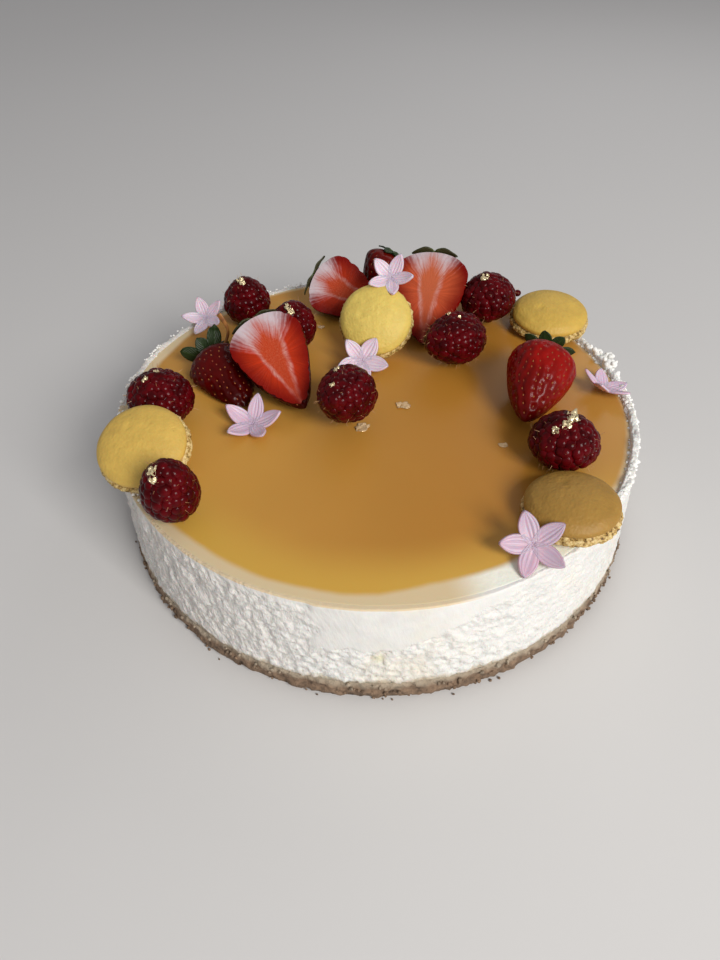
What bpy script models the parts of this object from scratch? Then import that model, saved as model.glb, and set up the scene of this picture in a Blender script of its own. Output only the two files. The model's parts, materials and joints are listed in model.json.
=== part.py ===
"""Mango cheesecake: biscuit base, baked filling, mango jelly and its fruit toppings.

Metres, +Z up. The origin is the centre of the cake's underside and the front faces -Y.
"""
import math
import random

import bmesh
import bpy
from mathutils import Matrix, Vector, noise

# Driving dimensions of the cake
MM = 0.001
GAP = 0.3 * MM
FOOT_RADIUS = 103.0 * MM
RIM_RADIUS = 100.0 * MM
CAKE_HEIGHT = 47.0 * MM
BISCUIT_HEIGHT = 8.0 * MM
JELLY_RADIUS = 96.8 * MM
JELLY_TOP = 46.6 * MM
JELLY_DEPTH = 2.8 * MM
BULGE = 3.4 * MM
BULGE_ANGLE = math.radians(164.0)
AROUND = 112
WALL_ROWS = 9

# Driving dimensions of the toppings
RASPBERRY_STEPS = 12
RASPBERRY_ROWS = 8
DRUPELET_HEIGHT = 0.9 * MM
BERRY_STEPS = 16
BERRY_ROWS = 9
SHOULDER = 0.25
TIP_FULLNESS = 0.70
SHELL_RADIUS = 17.0 * MM
SHELL_HEIGHT = 10.4 * MM
SHELL_STEPS = 28
PETAL_LENGTH = 11.0 * MM
PETAL_HALF_WIDTH = 3.1 * MM
PETAL_THICKNESS = 0.9 * MM
LEAF_HALF_WIDTH = 2.6 * MM
LEAF_THICKNESS = 0.7 * MM
REST = JELLY_TOP + GAP

CAKE_NAME = "mango_cheesecake"


def clear_scene():
    """Remove every object that is in the scene."""
    for thing in list(bpy.data.objects):
        bpy.data.objects.remove(thing, do_unlink=True)


def collection(name):
    """A new collection in the scene."""
    group = bpy.data.collections.new(name)
    bpy.context.scene.collection.children.link(group)
    return group


def material(name, colour, roughness, metallic=0.0):
    """One Principled material."""
    surface = bpy.data.materials.new(name)
    surface.use_nodes = True
    shader = surface.node_tree.nodes["Principled BSDF"]
    shader.inputs["Base Color"].default_value = (*colour, 1.0)
    shader.inputs["Roughness"].default_value = roughness
    shader.inputs["Metallic"].default_value = metallic
    return surface


def add_object(name, mesh, surface, group):
    """An object for a mesh, with its material, in a collection."""
    thing = bpy.data.objects.new(name, mesh)
    mesh.materials.clear()
    mesh.materials.append(surface)
    group.objects.link(thing)
    return thing


def apply_modifiers(thing):
    """Put the evaluated mesh in place of the object's mesh and its modifiers."""
    bpy.context.view_layer.update()
    evaluated = thing.evaluated_get(bpy.context.evaluated_depsgraph_get())
    mesh = bpy.data.meshes.new_from_object(evaluated)
    thing.modifiers.clear()
    thing.data = mesh


def turned(name, profile, steps, surface, group):
    """A solid of revolution about Z, from (radius, height) points that run top to bottom."""
    mesh = bpy.data.meshes.new(name)
    points = [(radius, 0.0, height) for radius, height in profile]
    edges = [(i, i + 1) for i in range(len(points) - 1)]
    mesh.from_pydata(points, edges, [])
    thing = add_object(name, mesh, surface, group)
    screw = thing.modifiers.new("Turn", "SCREW")
    screw.axis = "Z"
    screw.steps = steps
    screw.render_steps = steps
    screw.use_merge_vertices = True
    screw.merge_threshold = 0.00001
    apply_modifiers(thing)
    return thing


def smooth(thing, sharp_angle=50.0):
    """Shade a round piece smooth, with its corners sharp."""
    thing.data.shade_smooth()
    thing.data.set_sharp_from_angle(angle=math.radians(sharp_angle))


def fade(value, low, high):
    """0 below low, 1 above high and a smooth step between."""
    t = min(max((value - low) / (high - low), 0.0), 1.0)
    return t * t * (3.0 - 2.0 * t)


def turn(heading, tilt, spin):
    """Rotation: spin about the piece's own axis, lean it by tilt towards a heading in plan.

    A heading of 0 is towards the front, 90 is towards +X, all in degrees.
    """
    lean = Matrix.Rotation(math.radians(tilt), 3, "X")
    own = Matrix.Rotation(math.radians(spin), 3, "Z")
    return (Matrix.Rotation(math.radians(heading), 3, "Z") @ lean @ own).to_euler()


def place(thing, spot, heading=0.0, tilt=0.0, spin=0.0):
    """Turn a piece and set its own origin at a spot, in millimetres."""
    thing.rotation_euler = turn(heading, tilt, spin)
    thing.location = Vector(spot) * MM
    bpy.context.view_layer.update()


def lowest(thing):
    """Height of the lowest corner of a placed piece."""
    return min((thing.matrix_world @ corner.co).z for corner in thing.data.vertices)


def settle(thing, height=REST):
    """Move a placed piece straight up or down until it rests at a height."""
    thing.location.z += height - lowest(thing)
    bpy.context.view_layer.update()


# The cake itself


def wall_radius(height):
    """Radius of the cake's side at a height: it leans in a little towards the rim."""
    return FOOT_RADIUS + (RIM_RADIUS - FOOT_RADIUS) * height / CAKE_HEIGHT


def back_left_bulge(x, y, z):
    """How far the top of the side swells out at the back left, where the cake isn't round."""
    away = math.atan2(y, x) - BULGE_ANGLE
    return BULGE * max(0.0, math.cos(away)) ** 6 * fade(z, 0.3 * CAKE_HEIGHT, CAKE_HEIGHT)


def wall_relief(x, y, z):
    """How far the baked side stands out or in at a point: crags low down and at the left."""
    angle = math.atan2(y, x)
    front = max(0.0, -math.sin(angle + 0.15)) ** 3
    smooth_band = front * fade(z, 0.030, 0.038)
    crag = noise.fractal(Vector((x, y, z)) * 160.0, 0.8, 2.0, 3)
    furrow = noise.noise(Vector((x * 260.0, y * 260.0, z * 70.0)))
    lumps = noise.noise(Vector((x, y, z * 1.6)) * 60.0)
    rough = 0.9 * crag + 0.5 * furrow
    return ((1.0 - 0.85 * smooth_band) * rough + 0.35 * lumps) * MM


def rim_relief(x, y):
    """How far the rim rises above its level: crumbs at the right, nearly level in front."""
    angle = math.atan2(y, x)
    right = fade(math.cos(angle), 0.2, 0.7)
    back_left = fade(-math.cos(angle), 0.3, 0.8) * fade(math.sin(angle), -0.2, 0.2)
    crumb = 0.5 + 0.9 * noise.noise(Vector((x, y, 0.0)) * 210.0)
    return (0.1 + 0.9 * right + 0.5 * back_left) * max(crumb, 0.0) * MM


def build_biscuit(surface, group):
    """The biscuit base: a flat disc with a crumbly edge that stands out a little."""
    top = BISCUIT_HEIGHT
    profile = [
        (0.0, top),
        (wall_radius(top) - 1.0 * MM, top),
        (wall_radius(top) + 0.2 * MM, top - 1.2 * MM),
        (wall_radius(top) + 0.7 * MM, 0.45 * top),
        (FOOT_RADIUS + 0.2 * MM, 0.9 * MM),
        (FOOT_RADIUS - 0.8 * MM, 0.0),
        (0.0, 0.0),
    ]
    base = turned("biscuit_base", profile, AROUND, surface, group)
    for corner in base.data.vertices:
        radius = math.hypot(corner.co.x, corner.co.y)
        level = 1.0 * MM < corner.co.z < top - 0.5 * MM
        if radius > 0.5 * FOOT_RADIUS and level:
            grow = 1.0 + 0.7 * MM * noise.fractal(corner.co * 190.0, 0.8, 2.0, 2) / radius
            corner.co.x *= grow
            corner.co.y *= grow
    smooth(base, 35.0)
    return base


def build_filling(surface, group):
    """The baked filling: craggy side, low crumbly rim and a shallow dish for the jelly."""
    foot = BISCUIT_HEIGHT + GAP
    dish = JELLY_TOP - JELLY_DEPTH - GAP
    wall_top = CAKE_HEIGHT - 1.2 * MM
    profile = [
        (0.0, dish),
        (JELLY_RADIUS + GAP, dish),
        (JELLY_RADIUS + 2.0 * GAP, CAKE_HEIGHT - 0.5 * MM),
        (JELLY_RADIUS + 1.6 * MM, CAKE_HEIGHT),
    ]
    for row in range(WALL_ROWS):
        height = wall_top + (foot - wall_top) * row / (WALL_ROWS - 1)
        profile.append((wall_radius(height), height))
    profile.append((0.0, foot))
    filling = turned("cheesecake_filling", profile, AROUND, surface, group)
    for corner in filling.data.vertices:
        x, y, z = corner.co
        radius = math.hypot(x, y)
        if radius > JELLY_RADIUS + 1.0 * MM and z > wall_top - 0.5 * MM:
            corner.co.z += rim_relief(x, y)
        swell = back_left_bulge(x, y, z) if radius > 0.5 * JELLY_RADIUS else 0.0
        if radius > JELLY_RADIUS + 2.5 * MM and z > foot + 0.5 * MM:
            swell += wall_relief(x, y, z)
        if swell:
            corner.co.x *= 1.0 + swell / radius
            corner.co.y *= 1.0 + swell / radius
    smooth(filling, 35.0)
    return filling


def build_jelly(surface, group):
    """The mango jelly: a flat disc with a soft round edge."""
    foot = JELLY_TOP - JELLY_DEPTH
    profile = [
        (0.0, JELLY_TOP),
        (JELLY_RADIUS - 1.5 * MM, JELLY_TOP),
        (JELLY_RADIUS, JELLY_TOP - 0.4 * MM),
        (JELLY_RADIUS, foot),
        (0.0, foot),
    ]
    jelly = turned("mango_jelly", profile, AROUND, surface, group)
    for corner in jelly.data.vertices:
        x, y, z = corner.co
        radius = math.hypot(x, y)
        if radius > 0.5 * JELLY_RADIUS:
            swell = back_left_bulge(x, y, min(z, foot))
            corner.co.x *= 1.0 + swell / radius
            corner.co.y *= 1.0 + swell / radius
    smooth(jelly, 35.0)
    return jelly


# Gold leaf, fused to what it lies on


def flake(spot, normal, size, seed, surface, group):
    """One crumpled scrap of gold leaf, half sunk in the surface at a world point."""
    rng = random.Random(seed)
    bm = bmesh.new()
    bmesh.ops.create_icosphere(bm, subdivisions=1, radius=1.0)
    for corner in bm.verts:
        corner.co *= rng.uniform(0.8, 1.2)
        corner.co.x *= 0.5 * size * MM
        corner.co.y *= 0.38 * size * MM
        corner.co.z *= 0.5 * MM
    mesh = bpy.data.meshes.new("gold_flake")
    bm.to_mesh(mesh)
    bm.free()
    scrap = add_object("gold_flake", mesh, surface, group)
    own = Matrix.Rotation(rng.uniform(0.0, math.tau), 3, "Z")
    facing = normal.to_track_quat("Z", "Y").to_matrix()
    scrap.rotation_euler = (facing @ own).to_euler()
    scrap.location = spot + normal * 0.2 * MM
    return scrap


def fuse(thing, group):
    """Join everything in a collection to a piece with one Boolean union, and apply it."""
    union = thing.modifiers.new("Fuse", "BOOLEAN")
    union.operation = "UNION"
    union.solver = "EXACT"
    union.operand_type = "COLLECTION"
    union.collection = group
    apply_modifiers(thing)
    for scrap in list(group.objects):
        bpy.data.objects.remove(scrap, do_unlink=True)
    bpy.data.collections.remove(group)


def gild(thing, flakes, surface):
    """Fuse flakes, each (x, y, z from the piece's centre in millimetres, size), to a piece."""
    scraps = collection("flakes")
    scraps.hide_render = True
    middle = sum((thing.matrix_world @ c.co for c in thing.data.vertices), Vector())
    middle /= len(thing.data.vertices)
    inverse = thing.matrix_world.inverted()
    for number, (x, y, z, size) in enumerate(flakes):
        reach = middle + Vector((x, y, z)) * MM
        found, near, normal, face = thing.closest_point_on_mesh(inverse @ reach)
        outward = (reach - middle).normalized()
        scrap = flake(thing.matrix_world @ near, outward, size, 31 + number, surface, scraps)
        scrap.display_type = "WIRE"
    bpy.context.view_layer.update()
    fuse(thing, scraps)


# Raspberries


def build_raspberry(name, width, height, surface, group):
    """A raspberry about the origin, stem end down: staggered rows of drupelets."""
    bm = bmesh.new()
    bmesh.ops.create_uvsphere(
        bm, u_segments=RASPBERRY_STEPS, v_segments=RASPBERRY_ROWS, radius=1.0
    )
    half_step = math.pi / RASPBERRY_STEPS
    for corner in bm.verts:
        x, y, z = corner.co
        row = round(math.acos(max(-1.0, min(1.0, z))) / math.pi * RASPBERRY_ROWS)
        stagger = Matrix.Rotation(half_step * (row % 2), 3, "Z")
        taper = 1.0 - 0.16 * z - 0.08 * z * z
        side = stagger @ Vector((x, y, 0.0)) * 0.5 * width * MM * taper
        rise = 0.5 * height * MM * max(z, -0.88)
        corner.co = (side.x, side.y, rise)
    middle_rows = [face for face in bm.faces if len(face.verts) == 4]
    bmesh.ops.poke(bm, faces=middle_rows, offset=DRUPELET_HEIGHT)
    bmesh.ops.triangulate(bm, faces=bm.faces[:])
    mesh = bpy.data.meshes.new(name)
    bm.to_mesh(mesh)
    bm.free()
    return add_object(name, mesh, surface, group)


# Strawberries and their leaves


def berry_profile(width, length):
    """Outline of a strawberry as (radius, height), from the stem end down to the tip."""
    shoulder_height = length * (1.0 - SHOULDER)
    points = [(0.0, length - 0.6)]
    for row in range(1, BERRY_ROWS):
        if row <= 3:
            lean = math.pi / 2.0 * row / 3.0
            radius = 0.5 * width * math.sin(lean)
            height = shoulder_height + length * SHOULDER * math.cos(lean)
        else:
            t = 1.0 - (row - 3.0) / (BERRY_ROWS - 3.0)
            radius = 0.5 * width * (1.0 - (1.0 - t) ** 1.5) ** TIP_FULLNESS
            height = shoulder_height * t
        points.append((radius, height))
    points.append((0.0, 0.0))
    return [(radius * MM, height * MM) for radius, height in points]


def build_strawberry(name, width, length, cut_at, surface, group):
    """A strawberry with its tip at the origin and its stem end up.

    A halved one is cut at a distance in front of its axis, keeps the back (+Y) and shows its
    flat cut face towards -Y. A whole one has no cut.
    """
    berry = turned(name, berry_profile(width, length), BERRY_STEPS, surface, group)
    bm = bmesh.new()
    bm.from_mesh(berry.data)
    for corner in bm.verts:
        lump = noise.noise(corner.co * 70.0 + Vector((width, length, 0.0)))
        side = 1.0 + 0.05 * lump
        corner.co.x *= side
        corner.co.y *= side
    if cut_at is not None:
        cut = bmesh.ops.bisect_plane(
            bm,
            geom=bm.verts[:] + bm.edges[:] + bm.faces[:],
            dist=0.01 * MM,
            plane_co=(0.0, -cut_at * MM, 0.0),
            plane_no=(0.0, -1.0, 0.0),
            clear_outer=True,
        )
        rim = [piece for piece in cut["geom_cut"] if isinstance(piece, bmesh.types.BMEdge)]
        bmesh.ops.edgeloop_fill(bm, edges=rim)
        bmesh.ops.recalc_face_normals(bm, faces=bm.faces[:])
    bm.to_mesh(berry.data)
    bm.free()
    smooth(berry, 40.0)
    return berry


def star_sheet(name, count, sweep, length, half_width, throat, height_at, fold, thickness):
    """Thin star of pointed petals or leaves about the origin, a closed sheet.

    The points spread over the sweep; height_at gives the sheet's height at a distance from
    the middle, and fold lowers each point's midline.
    """
    bm = bmesh.new()

    def corner(angle, reach, across, lower):
        along = Vector((math.cos(angle), math.sin(angle), 0.0))
        aside = Vector((-along.y, along.x, 0.0))
        spot = along * reach + aside * across
        spot.z = height_at(spot.length) - lower
        return bm.verts.new(spot)

    middle = corner(0.0, 0.0, 0.0, 0.0)
    step = sweep / count
    closed = sweep > math.tau - 0.01
    joints = [corner(step * k, throat, 0.0, 0.0) for k in range(count + (not closed))]
    for k in range(count):
        angle = step * (k + 0.5)
        left = joints[k]
        right = joints[(k + 1) % len(joints)]
        inner = corner(angle, throat * 1.15, 0.0, fold)
        wide = [corner(angle, 0.55 * length, s * half_width, 0.0) for s in (-1.0, 1.0)]
        wide_middle = corner(angle, 0.55 * length, 0.0, fold)
        narrow = [corner(angle, 0.8 * length, s * 0.68 * half_width, 0.0) for s in (-1.0, 1.0)]
        narrow_middle = corner(angle, 0.8 * length, 0.0, 0.7 * fold)
        tip = corner(angle, length, 0.0, 0.0)
        bm.faces.new((middle, left, inner))
        bm.faces.new((middle, inner, right))
        bm.faces.new((left, wide[0], wide_middle, inner))
        bm.faces.new((inner, wide_middle, wide[1], right))
        bm.faces.new((wide[0], narrow[0], narrow_middle, wide_middle))
        bm.faces.new((wide_middle, narrow_middle, narrow[1], wide[1]))
        bm.faces.new((narrow[0], tip, narrow_middle))
        bm.faces.new((narrow_middle, tip, narrow[1]))
    bmesh.ops.triangulate(bm, faces=bm.faces[:])
    bmesh.ops.recalc_face_normals(bm, faces=bm.faces[:])
    bmesh.ops.solidify(bm, geom=bm.faces[:], thickness=thickness)
    bmesh.ops.recalc_face_normals(bm, faces=bm.faces[:])
    mesh = bpy.data.meshes.new(name)
    bm.to_mesh(mesh)
    bm.free()
    return mesh


def build_calyx(name, berry, leaves, length, lift, halved, surface, group):
    """The green leaves on a strawberry's stem end, clear of its flesh.

    The berry is its width and length; lift is how far the leaf tips curl up and away.
    """
    width, berry_length = berry
    shoulder = berry_length * SHOULDER

    def height_at(reach):
        out = min(reach / (0.5 * width * MM), 0.98)
        skin = berry_length - shoulder * (1.0 - math.sqrt(1.0 - out * out))
        curl = lift * (reach / (length * MM)) ** 2
        return (skin + 1.1 + curl) * MM

    sweep = math.pi if halved else math.tau
    room = 0.55 * length * MM * math.tan(0.5 * sweep / leaves)
    mesh = star_sheet(
        name,
        leaves,
        sweep,
        length * MM,
        min(LEAF_HALF_WIDTH, 0.85 * room),
        3.0 * MM,
        height_at,
        0.2 * MM,
        LEAF_THICKNESS,
    )
    return add_object(name, mesh, surface, group)


# Macaron shells and sugar flowers


def build_shell(name, spread, surface, group):
    """A macaron shell on its flat underside: smooth dome, narrow waist and ruffled foot."""
    radius = SHELL_RADIUS * spread
    profile = [
        (0.0, SHELL_HEIGHT),
        (0.46 * radius, SHELL_HEIGHT - 0.7 * MM),
        (0.75 * radius, SHELL_HEIGHT - 2.4 * MM),
        (0.92 * radius, SHELL_HEIGHT - 4.9 * MM),
        (0.93 * radius, 3.9 * MM),
        (0.90 * radius, 3.4 * MM),
        (0.99 * radius, 2.4 * MM),
        (0.96 * radius, 0.4 * MM),
        (0.90 * radius, 0.0),
        (0.0, 0.0),
    ]
    shell = turned(name, profile, SHELL_STEPS, surface, group)
    for corner in shell.data.vertices:
        if 0.3 * MM < corner.co.z < 3.0 * MM:
            ruffle = 1.0 + 0.018 * noise.noise(corner.co * 420.0)
            corner.co.x *= ruffle
            corner.co.y *= ruffle
    smooth(shell, 35.0)
    return shell


def build_flower(name, scale, cup, surface, group):
    """A five-petalled sugar flower opening upwards from the origin."""
    length = PETAL_LENGTH * scale

    def height_at(reach):
        return cup * MM * (reach / length) ** 1.6

    mesh = star_sheet(
        name,
        5,
        math.tau,
        length,
        PETAL_HALF_WIDTH * scale,
        3.2 * MM * scale,
        height_at,
        0.45 * MM,
        PETAL_THICKNESS,
    )
    return add_object(name, mesh, surface, group)


# Where the toppings lie: spots in millimetres, angles in degrees

RASPBERRIES = [
    # width, height, x, y, heading, tilt, flakes
    (20.2, 20.8, -57.0, 62.5, 0, 4, [(-2.0, -2.0, 14.0, 3.6)]),
    (19.5, 21.0, -34.8, 39.5, 60, 8, [(-1.0, -4.0, 14.0, 3.6)]),
    (24.3, 19.6, -82.5, -8.0, 60, 8, [(0.5, 1.5, 14.0, 2.4), (-4.0, -3.0, 13.0, 2.4)]),
    (18.8, 24.0, -69.4, -60.6, -10, 4, [(-3.0, -3.5, 14.0, 3.2)]),
    (21.0, 27.0, -12.1, -13.9, -28, 64, [(-1.0, 0.0, 12.0, 2.6), (-2.0, -6.0, 11.0, 2.0)]),
    (20.8, 26.5, 32.4, 24.7, -68, 84, [(-3.0, -1.0, 12.0, 2.6), (2.0, -5.0, 12.0, 2.2)]),
    (23.5, 21.0, 50.7, 58.8, -110, 14, [(-3.0, -2.0, 14.0, 3.6)]),
    (24.0, 19.4, 64.8, -36.8, 170, 6, [(1.0, -2.0, 14.0, 5.6), (-6.0, -4.0, 12.0, 2.4)]),
]

STRAWBERRIES = [
    # width, length, cut ahead of the axis or None, x, y, z of the tip, heading, tilt, spin
    (26.0, 35.5, -2.2, -51.9, -4.2, 45.6, 208, 84, 0),
    (29.5, 41.5, 2.5, -28.2, -9.6, 51.7, 213, 61, 162),
    (27.0, 34.0, 0.0, 3.6, 60.2, 52.0, 249, 70, 138),
    (33.0, 44.5, 0.0, 20.4, 37.4, 49.5, 169, 60, 180),
    (25.5, 34.5, None, 54.0, -21.3, 53.4, 158, 75, 0),
    (20.0, 22.0, None, -1.5, 80.0, 48.0, 120, 35, 0),
]

CALYXES = [
    # berry number, leaves, leaf length, curl of the tips
    (1, 4, 12.5, 11.0),
    (2, 4, 9.5, 0.5),
    (3, 4, 9.5, 1.5),
    (4, 4, 10.5, 0.8),
    (5, 7, 10.5, 6.0),
    (6, 5, 7.5, 0.5),
]

SHELLS = [
    # radius factor, x, y, heading, tilt, height of the lowest point
    (1.01, -83.4, -34.8, -12, 22, 47.3),
    (0.95, 1.0, 41.4, -10, 43, 46.9),
    (1.02, 77.8, 51.8, -10, 4, 48.3),
    (0.98, 62.3, -64.6, 215, 5, 47.4),
]

FLOWERS = [
    # petal scale, cup depth, x, y, z of the middle, heading, tilt, spin
    (0.88, 4.0, -75.2, 55.8, 52.0, -20, 30, 18),
    (1.00, 5.0, -48.0, -14.0, 47.9, 0, 12, 44),
    (1.00, 3.0, -5.6, 21.0, 51.8, 0, 40, 20),
    (0.88, 4.5, 7.2, 50.6, 73.1, -10, 36, 32),
    (0.95, 4.0, 90.6, 3.4, 49.2, 115, 22, 10),
    (1.00, 2.5, 46.6, -80.6, 52.3, -5, 40, 1),
]

JELLY_FLAKES = [
    # x, y, size
    (-6.6, -15.6, 5.0),
    (9.8, -2.5, 4.6),
    (45.9, -27.3, 2.6),
    (-23.4, 55.2, 2.6),
]


def build_toppings(materials, group):
    """Every berry, shell and flower in its place."""
    for number, row in enumerate(RASPBERRIES, start=1):
        width, height, x, y, heading, tilt, flakes = row
        name = f"raspberry_{number:02d}"
        berry = build_raspberry(name, width, height, materials["raspberry"], group)
        place(berry, (x, y, 0.0), heading, tilt)
        settle(berry)
        gild(berry, flakes, materials["gold"])
        smooth(berry, 30.0)
    berries = {}
    for number, row in enumerate(STRAWBERRIES, start=1):
        width, length, cut_at, x, y, z, heading, tilt, spin = row
        name = f"strawberry_{number:02d}"
        berry = build_strawberry(name, width, length, cut_at, materials["strawberry"], group)
        place(berry, (x, y, z), heading, tilt, spin)
        berries[number] = (berry, width, length, cut_at is not None)
    for number, leaves, length, curl in CALYXES:
        berry, width, berry_length, halved = berries[number]
        name = f"calyx_{number:02d}"
        size = (width, berry_length)
        calyx = build_calyx(name, size, leaves, length, curl, halved, materials["leaf"], group)
        calyx.rotation_euler = berry.rotation_euler
        calyx.location = berry.location
    for number, row in enumerate(SHELLS, start=1):
        spread, x, y, heading, tilt, height = row
        name = f"macaron_shell_{number:02d}"
        shell = build_shell(name, spread, materials["macaron"], group)
        place(shell, (x, y, 0.0), heading, tilt, 40.0 * number)
        settle(shell, height * MM)
    for number, row in enumerate(FLOWERS, start=1):
        scale, cup, x, y, z, heading, tilt, spin = row
        name = f"sugar_flower_{number:02d}"
        flower = build_flower(name, scale, cup, materials["sugar"], group)
        place(flower, (x, y, z), heading, tilt, spin)


def main():
    clear_scene()
    group = collection(CAKE_NAME)
    materials = {
        "biscuit": material("biscuit", (0.42, 0.30, 0.19), 0.85),
        "filling": material("cheesecake", (0.86, 0.83, 0.77), 0.55),
        "jelly": material("mango_jelly", (0.72, 0.41, 0.09), 0.18),
        "raspberry": material("raspberry", (0.20, 0.005, 0.012), 0.35),
        "strawberry": material("strawberry", (0.50, 0.02, 0.015), 0.3),
        "leaf": material("leaf", (0.04, 0.10, 0.02), 0.6),
        "macaron": material("macaron", (0.72, 0.52, 0.13), 0.6),
        "sugar": material("sugar_petal", (0.90, 0.72, 0.74), 0.5),
        "gold": material("gold_leaf", (0.95, 0.72, 0.30), 0.25, 1.0),
    }
    build_biscuit(materials["biscuit"], group)
    build_filling(materials["filling"], group)
    jelly = build_jelly(materials["jelly"], group)
    scraps = collection("flakes")
    for number, (x, y, size) in enumerate(JELLY_FLAKES):
        spot = Vector((x * MM, y * MM, JELLY_TOP))
        flake(spot, Vector((0.0, 0.0, 1.0)), size, 11 + number, materials["gold"], scraps)
    fuse(jelly, scraps)
    build_toppings(materials, group)


main()
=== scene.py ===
"""Dresses the mango cheesecake: crust, filling, jelly, fruit, macaron shells, flowers and gold.

Metres, +Z up. The origin is the centre of the cake's underside and the front faces -Y.
"""

import json
import math
import random

import bpy
from bpy.props import FloatProperty, FloatVectorProperty, IntProperty, PointerProperty
from mathutils import Matrix, Vector, kdtree, noise

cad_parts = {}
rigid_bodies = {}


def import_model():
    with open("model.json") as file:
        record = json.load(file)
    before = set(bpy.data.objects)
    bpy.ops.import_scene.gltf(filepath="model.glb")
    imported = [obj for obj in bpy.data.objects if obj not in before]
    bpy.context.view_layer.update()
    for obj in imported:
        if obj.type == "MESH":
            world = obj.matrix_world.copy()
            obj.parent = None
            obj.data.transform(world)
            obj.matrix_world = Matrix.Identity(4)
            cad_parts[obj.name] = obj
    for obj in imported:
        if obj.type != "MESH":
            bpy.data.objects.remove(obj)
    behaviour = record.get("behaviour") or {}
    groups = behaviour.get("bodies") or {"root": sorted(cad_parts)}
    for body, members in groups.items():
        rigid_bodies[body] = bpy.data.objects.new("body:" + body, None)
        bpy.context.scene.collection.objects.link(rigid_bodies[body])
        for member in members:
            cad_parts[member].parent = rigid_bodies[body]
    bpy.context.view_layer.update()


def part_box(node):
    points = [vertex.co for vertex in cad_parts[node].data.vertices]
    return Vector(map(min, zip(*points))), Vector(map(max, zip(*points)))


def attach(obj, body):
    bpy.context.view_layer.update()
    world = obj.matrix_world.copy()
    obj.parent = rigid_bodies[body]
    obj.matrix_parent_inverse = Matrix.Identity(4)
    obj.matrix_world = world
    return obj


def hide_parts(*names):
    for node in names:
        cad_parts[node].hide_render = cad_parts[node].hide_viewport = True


bl_info = {
    "name": "Mango cheesecake",
    "version": (1, 0, 0),
    "blender": (4, 5, 0),
    "location": "View3D > Sidebar > Cheesecake",
    "description": "Models the cake and its toppings over its packed solids",
    "category": "Object",
}

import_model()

# Sizes that the solids have too
MM = 0.001
FOOT_RADIUS = 103.0 * MM
RIM_RADIUS = 100.0 * MM
CAKE_HEIGHT = 47.0 * MM
BISCUIT_HEIGHT = 8.0 * MM
JELLY_RADIUS = 96.8 * MM
JELLY_TOP = 46.6 * MM
JELLY_FOOT = 43.8 * MM
BULGE = 3.4 * MM
BULGE_ANGLE = math.radians(164.0)
SHOULDER = 0.25
TIP_FULLNESS = 0.70
SHELL_RADIUS = 17.0 * MM
SHELL_HEIGHT = 10.4 * MM
PETAL_LENGTH = 11.0 * MM

# The direction of the torn furrows, the film at the jelly's edge and where it is creamy, and
# the place of a yellow spot on the front
FURROW_RUN = (0.33, -0.29, -0.90)
FILM = (0.71, 0.55, 0.33)
CREAMY_FILM = (0.94, 0.91, 0.79)
BLEMISH = (-0.0022, -0.0998, 0.0215)

# Where the film at the jelly's edge begins, in decimetres from the axis, against the share of a
# turn that starts at the left and runs through the front
FILM_REACH = [
    (0.00, 0.967),
    (0.14, 0.957),
    (0.21, 0.953),
    (0.245, 0.952),
    (0.275, 0.925),
    (0.33, 0.915),
    (0.36, 0.940),
    (0.45, 0.962),
    (0.60, 0.964),
    (1.00, 0.967),
]

# Half the width of a strawberry against the height above its tip, as shares of its width and length
BERRY_PROFILE = [
    (0.0, 0.0),
    (0.06, 0.11),
    (0.18, 0.24),
    (0.35, 0.38),
    (0.60, 0.485),
    (0.75, 0.50),
    (0.90, 0.40),
    (1.0, 0.10),
]

# The camera's place and axes, and its lens for a frame 36 mm high
CAMERA_SPOT = (-0.0073, -0.22753, 0.22444)
CAMERA_RIGHT = (0.99986254, -0.01155268, -0.01189233)
CAMERA_UP = (0.01657987, 0.69669386, 0.71717695)
FRAME_HEIGHT = 36.0
LENS = FRAME_HEIGHT * 721.0 / 960.0

# Spots in millimetres, angles in degrees, as the solids have them. A piece that settles on its
# own solid starts at this height.
ALOFT = 60.0

RASPBERRIES = [
    # width, height, x, y, heading, tilt, flakes of gold as x, y, z from the middle and size
    (20.2, 20.8, -57.0, 62.5, 0, 4, [(-2.0, -2.0, 14.0, 3.8), (-0.2, -4.6, 13.0, 2.6)]),
    (19.5, 21.0, -34.8, 39.5, 60, 8, [(-1.0, -4.0, 14.0, 3.4), (0.6, -6.4, 12.0, 2.6)]),
    (24.3, 19.6, -82.5, -8.0, 60, 8, [(0.5, 1.5, 14.0, 2.2), (-4.0, -3.0, 13.0, 2.4)]),
    (18.8, 24.0, -69.4, -60.6, -10, 4, [(-3.0, -3.5, 14.0, 3.4), (-2.8, -6.0, 12.0, 2.4)]),
    (21.0, 27.0, -12.1, -13.9, -28, 64, [(-3.4, 1.5, 12.0, 2.6), (-4.4, -6.0, 11.0, 2.2)]),
    (20.8, 26.5, 32.4, 24.7, -68, 84, [(-3.0, 3.0, 12.0, 2.6), (1.0, -1.0, 12.0, 1.6)]),
    (23.5, 21.0, 50.7, 58.8, -110, 14, [(-3.0, -2.0, 14.0, 3.8)]),
    (24.0, 19.4, 64.8, -36.8, 170, 6, [(1, -0.6, 14, 5.4), (-2, -4.2, 13, 3.6), (-7.4, -5.4, 12, 2.8)]),
]

STRAWBERRIES = [
    # width, length, cut ahead of the axis or None, x, y, z of the tip, heading, tilt, spin
    (26.0, 35.5, -2.2, -51.9, -4.2, 45.6, 208, 84, 0),
    (29.5, 41.5, 2.5, -28.2, -9.6, 51.7, 213, 61, 162),
    (27.0, 34.0, 0.0, 3.6, 60.2, 52.0, 249, 70, 138),
    (33.0, 44.5, 0.0, 20.4, 37.4, 49.5, 169, 60, 180),
    (25.5, 34.5, None, 54.0, -21.3, 53.4, 158, 75, 0),
    (20.0, 22.0, None, -1.5, 80.0, 48.0, 120, 35, 0),
]

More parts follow.
